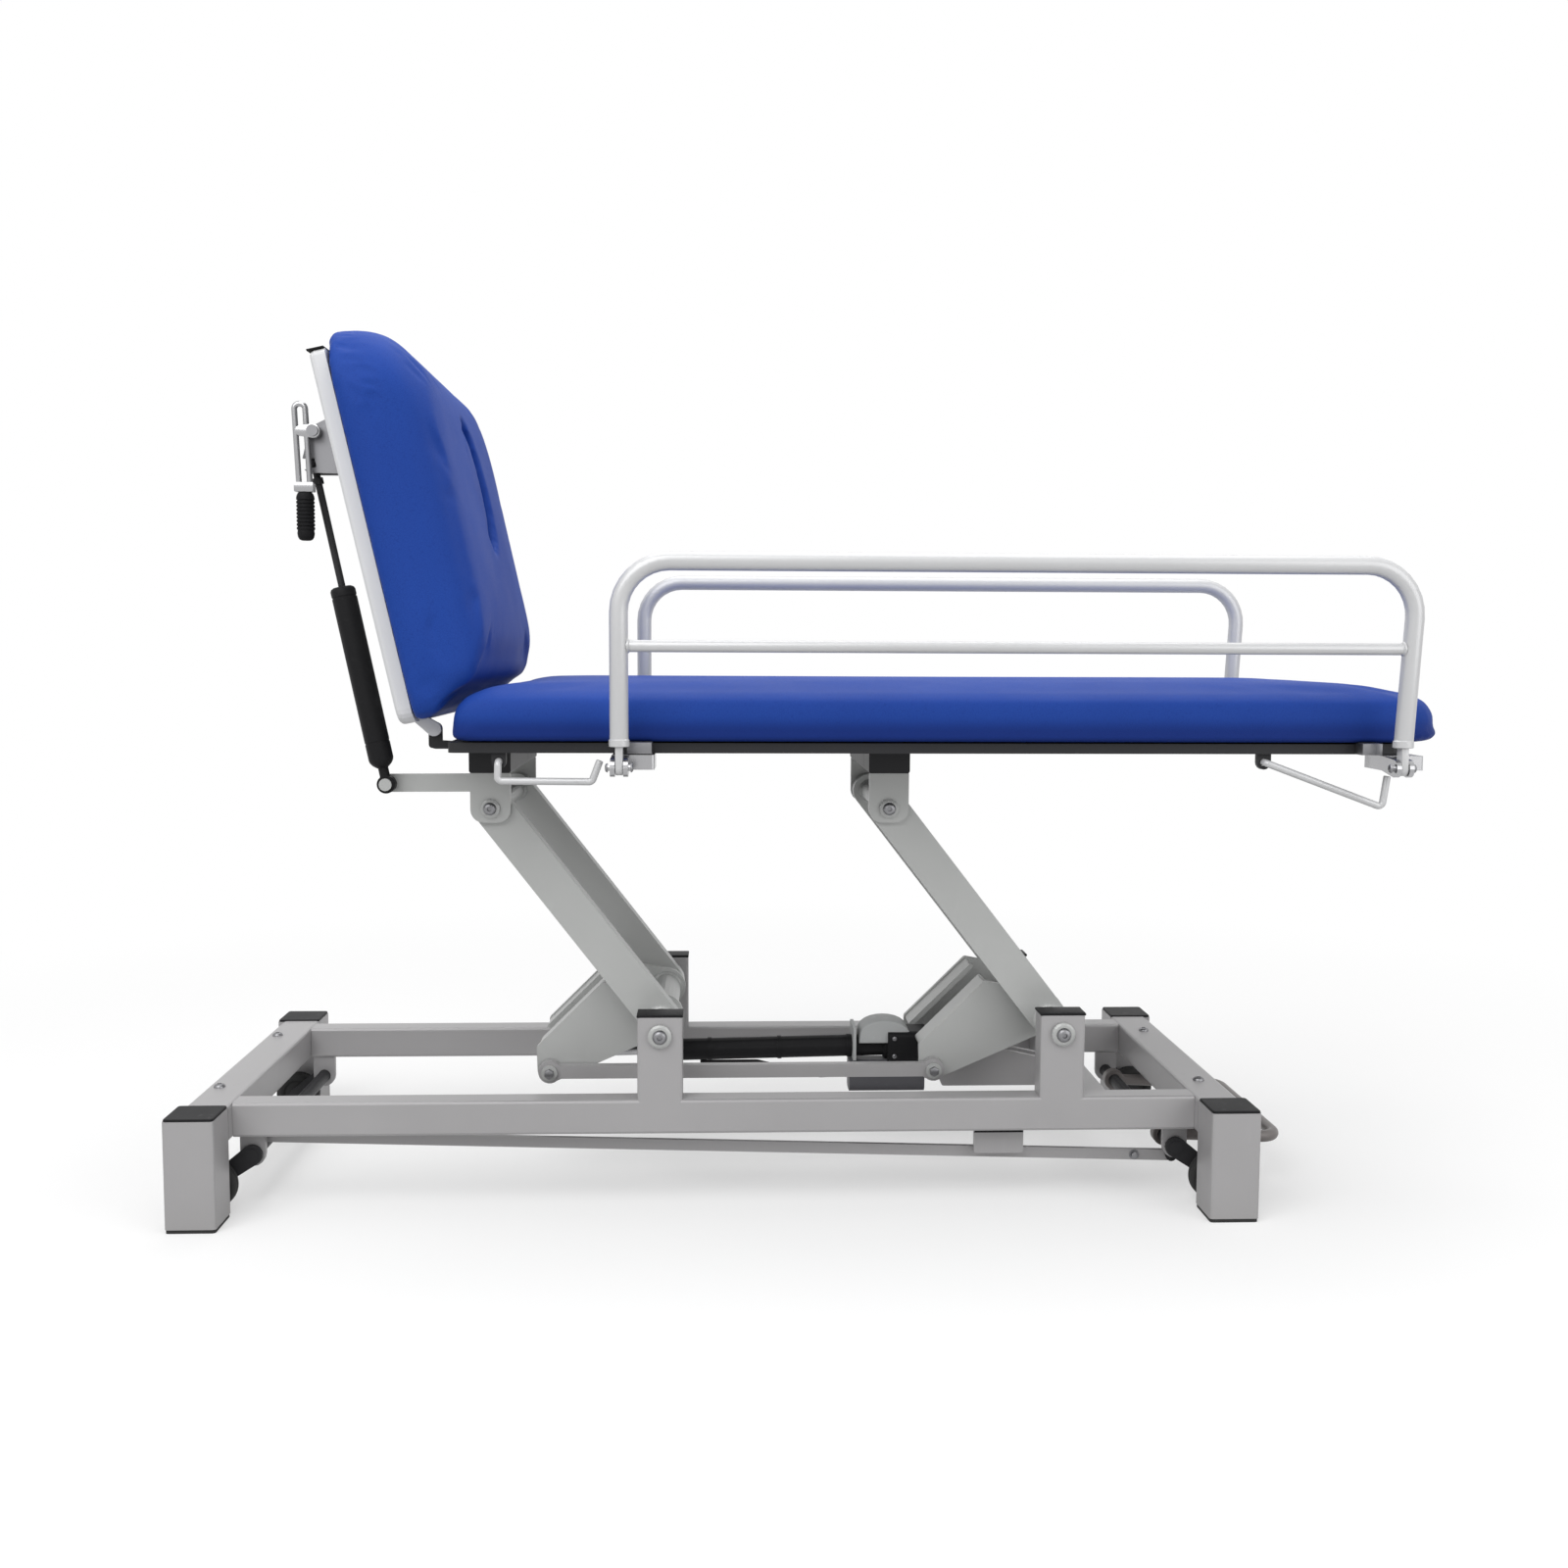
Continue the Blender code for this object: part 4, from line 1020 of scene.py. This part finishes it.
@dataclass
class Lever:
    """Release lever: bent wire loop, pivot plate, ferrule and a ribbed grip."""

    x: float = -0.695
    y: float = -0.215
    z: float = 1.100
    wire: float = 0.004
    bend: float = 0.0072
    ribs: int = 9

    def build(self) -> None:
        """Makes the loop and the grip."""
        x, y, z = self.x, self.y, self.z
        form = Form("release_lever_loop", "release_lever", "bright_steel", Finish.BRIGHT_STEEL)
        foot, crown = z - 0.078, z + 0.037
        path = [(x - 0.021, y, foot), (x - 0.026, y, crown), (x - 0.011, y, crown), (x - 0.006, y, foot)]
        form.tube(path, self.wire, self.bend, 18)
        outline = []
        for middle, radius, start in ((x, 0.010, -0.5), (x - 0.018, 0.007, 0.5)):
            for step in range(9):
                angle = math.pi * (start + step / 8)
                outline.append((middle + radius * math.cos(angle), z + radius * math.sin(angle)))
        form.plate(outline, (y - 0.004, y + 0.004), 0.0008)
        ferrule = rectangle((x - 0.0265, x - 0.0005), (y - 0.008, y + 0.008))
        form.slab([(a, b, z - 0.084) for a, b in ferrule], (0.0, 0.0, 0.014), 0.002)
        form.piece("release_lever")
        self._grip()

    def _grip(self) -> None:
        """Makes the rubber grip, ribbed along its middle."""
        form = Form("lever_grip_rubber", "release_lever", "black_plastic", Finish.GRIP_RUBBER)
        profile = [(0.0, 0.0), (0.0, 0.009), (0.002, 0.0108), (0.005, 0.0120)]
        pitch = 0.046 / self.ribs
        crest, valley = 0.0124, 0.0112
        for rib in range(self.ribs):
            at = 0.007 + rib * pitch
            profile += [(at, crest), (at + pitch * 0.55, crest)]
            profile += [(at + pitch * 0.65, valley), (at + pitch * 0.9, valley)]
        profile += [(0.056, 0.0118), (0.061, 0.0110), (0.0645, 0.0090), (0.066, 0.0060), (0.066, 0.0)]
        form.turned(profile, (self.x - 0.0130, self.y, self.z - 0.0843), (0.0, 0.0, -1.0), 40)
        form.piece("lever_grip")


@dataclass
class Wheel:
    """A castor wheel: rubber tread with a middle groove, on a dished hub with a bore."""

    end: str
    side: str
    sign: int
    x: float
    z: float = 0.038
    inner: float = 0.2235
    outer: float = 0.2455
    radius: float = 0.0355

    def build(self) -> bpy.types.Object:
        """Turns the wheel.

        Returns:
            The piece that stands for the wheel.
        """
        name = f"castor_wheel_{self.end}_{self.side}"
        form = Form(name + "_tread", f"wheel_{self.end}_{self.side}", "black_plastic", Finish.FOOT_RUBBER)
        wide = self.outer - self.inner
        r = self.radius
        hub = [(0.0020, 0.0062), (0.0020, 0.0105), (0.0045, 0.0120), (0.0045, 0.0215)]
        rim = [(0.0020, 0.0230), (0.0012, 0.0250), (0.0, 0.0270)]
        tread = [(0.0, r - 0.0048), (0.0008, r - 0.0025), (0.0026, r - 0.0008), (0.0050, r)]
        groove = [(wide / 2 - 0.0016, r), (wide / 2 - 0.0010, r - 0.0012)]
        side = hub + rim + tread + groove
        profile = side + [(wide - h, radius) for h, radius in reversed(side)] + [side[0]]
        centre = (self.x, self.sign * self.inner, self.z)
        form.turned(profile, centre, (0.0, float(self.sign), 0.0), 56)
        return form.piece(name)


@dataclass
class LiftHardware:
    """Screw heads, a bolt and weld beads of the lift arms, at one end of the couch."""

    end: str
    low_x: float
    arm_run: float = -0.247
    pivot_z: float = 0.251
    arm_rise: float = 0.319
    tube_face: float = 0.2475
    shaft_face: float = 0.1715
    tube_radius: float = 0.022
    shaft_radius: float = 0.015
    arm_faces: tuple = (0.125, 0.155)
    crank_faces: tuple = (0.092, 0.100)
    knee: tuple = (-0.170, -0.085)
    knee_face: float = 0.1235

    def build(self) -> None:
        """Makes the bolts and the beads."""
        body = f"{self.end}_arm"
        low = (self.low_x, self.pivot_z)
        high = (self.low_x + self.arm_run, self.pivot_z + self.arm_rise)
        bolts = Form(f"lift_bolts_{self.end}", body, "bright_steel", Finish.BOLT_STEEL)
        bolts.dome((low[0], -self.tube_face, low[1]), TO_NEAR, 0.0105)
        bolts.dome((high[0], -self.shaft_face, high[1]), TO_NEAR, 0.0095)
        bolts.mirrored()
        pin = (self.low_x + self.knee[0], -self.knee_face, self.pivot_z + self.knee[1])
        bolts.bolt(pin, TO_NEAR, 0.013)
        bolts.piece()
        beads = Form(f"lift_welds_{self.end}", body, "arm_grey", Finish.ARM_GREY)
        for face, way in zip(self.arm_faces, (1.0, -1.0)):
            self._bead(beads, low, -face, way, self.tube_radius, 0.0045)
            self._bead(beads, high, -face, way, self.shaft_radius, 0.0040)
        for face, way in zip(self.crank_faces, (1.0, -1.0)):
            self._bead(beads, low, -face, way, self.tube_radius, 0.0040)
        beads.mirrored()
        beads.piece()

    def _bead(self, form: Form, spot: Point, y: float, way: float, radius: float, size: float) -> None:
        """Adds a rippled weld bead round a shaft, against a plate.

        Args:
            form: The beads.
            spot: The shaft's x and z.
            y: Face of the plate.
            way: Side of the plate that the bead lies on.
            radius: Radius of the shaft.
            size: Leg of the bead.
        """
        count = len(form.bm.verts)
        sunk, wall = -0.0005, radius - 0.0005
        profile = [(sunk, wall), (sunk, radius + size), (size * 0.35, radius + size * 0.72)]
        profile += [(size * 0.72, radius + size * 0.35), (size, wall), (sunk, wall)]
        form.turned(profile, (spot[0], y, spot[1]), (0.0, way, 0.0), 72)
        form.bm.verts.ensure_lookup_table()
        for vert in form.bm.verts[count:]:
            arm = Vector((vert.co.x - spot[0], 0.0, vert.co.z - spot[1]))
            if arm.length > radius:
                angle = math.atan2(arm.z, arm.x)
                vert.co += arm.normalized() * (0.0004 * math.sin(angle * 24.0))


@dataclass
class BaseTrim:
    """Black caps on the pivot stubs and button screws on the end beams."""

    half: float = 0.0331
    inner: float = 0.1994
    outer: float = 0.2406
    low: float = 0.2775
    top: float = 0.2815
    beams: tuple = (-0.866, 0.588)
    screw_y: float = 0.155
    beam_top: float = 0.158

    def build(self) -> None:
        """Makes the caps and the screws."""
        caps = Form("stub_caps", "base", "black_plastic", Finish.BLACK_PLASTIC)
        for x in STUB_X.values():
            corners = rectangle((x - self.half, x + self.half), (-self.outer, -self.inner))
            caps.slab([(a, b, self.low) for a, b in corners], (0.0, 0.0, self.top - self.low), 0.0012, 3)
        caps.mirrored()
        caps.piece()
        screws = Form("beam_screws", "base", "bright_steel", Finish.BOLT_STEEL)
        for x in self.beams:
            screws.dome((x, -self.screw_y, self.beam_top), UP, 0.0085)
        screws.mirrored()
        screws.piece()


@dataclass
class BackShell:
    """Dark edge band along the top of the backrest's shell."""

    hinge: tuple = (-0.528, 0.690)
    top: tuple = (0.5253, 0.5275)
    depth: tuple = (-0.0398, -0.0168)
    half: float = 0.2995

    def spot(self, s: float, t: float) -> tuple:
        """Row x and z of a point s up the shell and t in front of it.

        Args:
            s: Distance up from the hinge.
            t: Distance out of the front.

        Returns:
            The x and z.
        """
        angle = math.radians(RAISED)
        x = self.hinge[0] - math.cos(angle) * s + math.sin(angle) * t
        z = self.hinge[1] + math.sin(angle) * s + math.cos(angle) * t
        return x, z

    def build(self) -> bpy.types.Object:
        """Makes the band.

        Returns:
            The piece.
        """
        form = Form("shell_edge_band", "backrest", "black_plastic", Finish.BLACK_PLASTIC)
        spots = [self.spot(s, t) for s, t in rectangle(self.top, self.depth)]
        form.plate(spots, (-self.half, self.half), 0.0006)
        return form.piece()


@dataclass
class RailFittings:
    """Plates on the edge of the board and pin heads at the hinges of the guard rails."""

    rail: GuardRail
    plates: tuple = ((-0.258, -0.2245), (0.748, 0.776))
    plate_z: tuple = (0.6605, 0.6765)
    plate_y: tuple = (-0.3330, -0.3054)
    pin_end: float = 0.0152

    def build(self) -> None:
        """Makes the plates and the pin heads."""
        form = Form("rail_plates", "top_frame", "bright_steel", Finish.BOLT_STEEL)
        rail = self.rail
        for plate in self.plates:
            form.plate(rectangle(plate, self.plate_z), self.plate_y, 0.0015)
        for x in (rail.head_x, rail.foot_x - rail.lean):
            for way in (-1.0, 1.0):
                form.dome((x + way * self.pin_end, -rail.across, rail.pivot), (way, 0.0, 0.0), 0.0062)
        form.mirrored()
        form.piece()


@dataclass
class LinkTrim:
    """Bolt on the castor link, and a thin dark sheet at the top of its guide that is painted shadow of the
    gap above the guide.
    """

    bolt: tuple = (0.482, -0.1946, 0.0571)
    shadow_strip_x: tuple = (0.2405, 0.3125)
    shadow_strip_z: tuple = (0.0970, 0.1050)
    shadow_strip_y: tuple = (-0.2106, -0.2097)

    def build(self) -> None:
        """Makes the bolt and the painted shadow strip."""
        bolt = Form("link_bolt", "castor_link", "bright_steel", Finish.BOLT_STEEL)
        bolt.bolt(self.bolt, TO_NEAR, 0.010, 0.0075)
        bolt.piece()
        # painted shadow: a thin black sheet on the face of the guide, where the gap above it lies in shade
        strip = Form("guide_shadow_strip", "base", "black_plastic", Finish.BLACK_PLASTIC)
        strip.plate(rectangle(self.shadow_strip_x, self.shadow_strip_z), self.shadow_strip_y, 0.0003)
        strip.piece()


@dataclass
class Pedal:
    """Castor pedal: a bent bar with two hubs that sit on the shaft."""

    shaft: tuple = (0.537, 0.0755)
    start: float = 0.551
    reach: float = 0.7145
    across: float = 0.150
    low: float = 0.068
    radius: float = 0.009
    bend: float = 0.030
    hub: float = 0.017

    def build(self) -> bpy.types.Object:
        """Bends the bar.

        Returns:
            The piece that stands for the pedal.
        """
        form = Form("castor_pedal_bar", "castor_foot", "base_grey", Finish.PEDAL_GREY)
        z = self.shaft[1] - 0.001
        path = [(self.start, -self.across, z), (self.reach, -self.across, self.low)]
        path += [(self.reach, self.across, self.low), (self.start, self.across, z)]
        form.tube(path, self.radius, self.bend, 24)
        for sign in (-1.0, 1.0):
            centre = (self.shaft[0], sign * self.across, self.shaft[1])
            form.sleeve(centre, ACROSS, 0.009, self.hub, 0.0012, 0.0103)
        return form.piece("castor_pedal")


@dataclass
class ActuatorTrim:
    """Collars, cable clips, screws and gear cover of the lift actuator."""

    rear: tuple = (0.212, 0.178)
    knee: tuple = (-0.388, 0.166)
    barrel: float = 0.017
    front: float = 0.465
    box_x: tuple = (0.132, 0.195)
    box_z: tuple = (0.155, 0.203)
    box_half: float = 0.032
    clips: tuple = (0.14, 0.25, 0.36)
    arch_x: tuple = (0.087, 0.168)
    arch_z: tuple = (0.184, 0.2205)
    arch_half: float = 0.027
    flange_z: tuple = (0.158, 0.210)

    def build(self) -> None:
        """Makes the collars, the clips, the screws and the cover."""
        rear = Vector((self.rear[0], 0.0, self.rear[1]))
        way = (Vector((self.knee[0], 0.0, self.knee[1])) - rear).normalized()
        r = self.barrel
        form = Form("actuator_collars", "actuator", "black_plastic", Finish.BLACK_PLASTIC)
        ring = [(-0.012, r), (-0.012, r + 0.002), (-0.011, r + 0.0028), (0.0, r + 0.0028)]
        ring += [(0.0015, r + 0.0015), (0.0015, r - 0.003), (-0.002, r - 0.003)]
        form.turned(ring, rear + way * self.front, way, 40)
        base = ((0.0, r), (0.0, r + 0.005), (0.003, r + 0.005), (0.006, r + 0.002), (0.006, r))
        form.turned(base, rear + way * 0.080, way, 40)
        for at in self.clips:
            strap = ((-0.003, r), (-0.003, r + 0.0012), (0.003, r + 0.0012), (0.003, r))
            form.turned(strap, rear + way * at, way, 40)
        form.piece()
        screws = Form("actuator_screws", "actuator", "bright_steel", Finish.BOLT_STEEL)
        for x in (self.box_x[0] + 0.010, self.box_x[1] - 0.010):
            for z in (self.box_z[0] + 0.010, self.box_z[1] - 0.010):
                screws.dome((x, -self.box_half, z), TO_NEAR, 0.0038)
        screws.mirrored()
        screws.piece()
        self._cover()

    def _cover(self) -> None:
        """Makes the arched gear cover and the flange in front of it."""
        form = Form("actuator_cover", "actuator", "motor_grey", Finish.COVER_GREY)
        (left, right), (low, high) = self.arch_x, self.arch_z
        middle = (left + right) / 2.0
        half = (right - left) / 2.0
        wall = low + 0.006
        outline = [(right, low), (left, low)]
        for step in range(13):
            angle = math.pi * (1.0 - step / 12.0)
            rise = math.sin(angle) ** 0.7 if 0 < step < 12 else 0.0
            outline.append((middle + half * math.cos(angle), wall + (high - wall) * rise))
        form.plate(outline, (-self.arch_half, self.arch_half), 0.003, 3)
        flange = rectangle((left - 0.010, left - 0.005), self.flange_z)
        form.plate(flange, (-self.box_half, self.box_half), 0.0012)
        form.piece()


class Coats:
    """Finishes of the CAD nodes that show as they are."""

    RULES = (
        ("actuator_tube", Finish.BLACK_PLASTIC),
        ("actuator_motor", Finish.MOTOR_GREY),
        ("actuator_rod", Finish.BRIGHT_STEEL),
        ("motor_lead", Finish.LEAD_BLACK),
        ("post_cap", Finish.BLACK_PLASTIC),
        ("post_foot", Finish.FOOT_RUBBER),
        ("castor_shaft", Finish.FRAME_BLACK),
        ("castor_link", Finish.BASE_GREY),
        ("seat_board", Finish.FRAME_BLACK),
        ("seat_cross", Finish.FRAME_BLACK),
        ("strut_bracket", Finish.BOLT_STEEL),
        ("rail_hinge", Finish.BRIGHT_STEEL),
        ("back_frame", Finish.PANEL_GREY),
        ("end_frame", Finish.BASE_GREY),
        ("side_rail", Finish.BASE_GREY),
        ("actuator_mount", Finish.BASE_GREY),
        ("tie_bar", Finish.BASE_GREY),
        ("pivot_bracket", Finish.ARM_GREY),
        ("head_", Finish.ARM_GREY),
        ("foot_", Finish.ARM_GREY),
    )

    def finish_of(self, node: str) -> Optional[Finish]:
        """Finish of a node by the start of its name."""
        return next((finish for start, finish in self.RULES if node.startswith(start)), None)

    def build(self) -> None:
        """Coats every CAD node that has a rule."""
        coated = 0
        for name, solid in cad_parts.items():
            finish = self.finish_of(name)
            if finish:
                solid.data.materials.clear()
                solid.data.materials.append(finish.material)
                coated += 1
        log.info("coats: %d CAD nodes", coated)


@dataclass
class Studio:
    """Camera, soft lights, pale floor and white background."""

    eye: tuple = (-0.1362, -2.4746, 0.8073)
    tilt: float = 85.02
    roll: float = -0.25
    turn: float = -2.386
    lens: float = 36.51
    floor_size: float = 14.0

    def build(self) -> None:
        """Sets the stage."""
        scene = bpy.context.scene
        scene.view_settings.view_transform = "Standard"
        data = bpy.data.cameras.new("camera")
        data.lens = self.lens
        data.sensor_width = 36.0
        camera = bpy.data.objects.new("camera", data)
        camera.location = self.eye
        camera.rotation_euler = [math.radians(angle) for angle in (self.tilt, self.roll, self.turn)]
        scene.collection.objects.link(camera)
        scene.camera = camera
        self._light("key", (-1.6, -2.6, 3.2), (0.0, 0.0, 0.5), 3.0, 94.0)
        self._light("fill", (2.6, -2.4, 1.6), (0.0, 0.0, 0.5), 2.4, 35.0)
        self._light("top", (0.2, 0.6, 3.6), (0.0, 0.0, 0.5), 3.2, 66.0)
        self._floor()
        self._world()
        log.info("studio: camera, three lights, floor and background")

    @staticmethod
    def _light(name: str, place: Point, aim: Point, size: float, power: float) -> None:
        """Adds a square soft light.

        Args:
            name: Its name.
            place: Where it hangs.
            aim: Point that it faces.
            size: Its side.
            power: Its power in watts.
        """
        data = bpy.data.lights.new(name, "AREA")
        data.size = size
        data.energy = power
        lamp = bpy.data.objects.new(name, data)
        lamp.location = place
        lamp.rotation_euler = (Vector(aim) - Vector(place)).to_track_quat("-Z", "Y").to_euler()
        bpy.context.scene.collection.objects.link(lamp)

    def _floor(self) -> None:
        """Lays the floor, which fades to white away from the couch."""
        bm = bmesh.new()
        bmesh.ops.create_grid(bm, x_segments=8, y_segments=8, size=self.floor_size)
        mesh = bpy.data.meshes.new("floor")
        bm.to_mesh(mesh)
        bm.free()
        shade = Shade("floor_pale")
        away = shade.add("ShaderNodeVectorMath", {"operation": "LENGTH"}, {0: shade.place})
        fade = 0.45 + shade.value(away, "Value").step(0.9, 2.6) * 0.55
        grain = shade.noise(30.0, 4.0)
        seen = shade.seen()
        colour = shade.mix(seen, (0.45, 0.45, 0.45), (0.93, 0.93, 0.93))
        shade.finish({"Base Color": colour, "Roughness": 0.8 + grain * 0.1}, {})
        glow = shade.add("ShaderNodeEmission", {}, {"Color": (1.0, 1.0, 1.0, 1.0), "Strength": 1.0})
        inputs = {0: fade * seen, 1: shade.value(shade.surface, 0), 2: shade.value(glow, 0)}
        both = shade.add("ShaderNodeMixShader", {}, inputs)
        shade.tree.links.new(both.outputs[0], shade.output.inputs["Surface"])
        mesh.materials.append(shade.material)
        floor = bpy.data.objects.new("floor", mesh)
        bpy.context.scene.collection.objects.link(floor)

    @staticmethod
    def _world() -> None:
        """Lights the room softly and shows white behind the couch."""
        world = bpy.data.worlds.new("room")
        bpy.context.scene.world = world
        world.use_nodes = True
        graph = Graph(world.node_tree)
        paper = (1.0, 1.0, 1.0, 1.0)
        soft = graph.add("ShaderNodeBackground", {}, {"Color": paper, "Strength": 0.48})
        white = graph.add("ShaderNodeBackground", {}, {"Color": paper, "Strength": 1.0})
        inputs = {0: graph.seen(), 1: graph.value(soft, 0), 2: graph.value(white, 0)}
        mixed = graph.add("ShaderNodeMixShader", {}, inputs)
        graph.add("ShaderNodeOutputWorld", {}, {"Surface": graph.value(mixed, 0)})


class Side(Enum):
    """The two long sides of the couch."""

    NEAR = -1
    FAR = 1

    @property
    def label(self) -> str:
        """Name of the side as the nodes spell it."""
        return self.name.lower()


def main() -> None:
    """Builds the looks piece by piece."""
    logging.basicConfig(level=logging.INFO, format="%(name)s %(message)s")
    Studio().build()
    Coats().build()
    front = (math.sin(math.radians(RAISED)), 0.0, math.cos(math.radians(RAISED)))
    Cushion("seat_pad", "top_frame", UP, 0.0105, ease=3).build()
    Cushion("back_pad", "backrest", front, 0.007, ease=8).build()
    Cushion("face_plug", "face_plug", front, 0.004, 0.0035, 0.002).build()
    rails = [GuardRail(side.label, side.value) for side in Side]
    for rail in rails:
        rail.build()
    head_bends = ((-0.001, -0.026), (0.127, -0.027), (0.138, 0.002))
    foot_bends = ((0.166, -0.062), (0.172, -0.018))
    Bail("head", pivot=(-0.434, 0.648), bends=head_bends).build()
    Bail("foot", pivot=(0.623, 0.648), bends=foot_bends).build()
    Strut().build()
    Lever().build()
    for end, x in CASTOR_X.items():
        for side in Side:
            Wheel(end, side.label, side.value, x).build()
    for end, x in STUB_X.items():
        LiftHardware(end, x).build()
    BaseTrim().build()
    BackShell().build()
    RailFittings(rails[0]).build()
    LinkTrim().build()
    Pedal().build()
    ActuatorTrim().build()


if __name__ == "__main__":
    main()
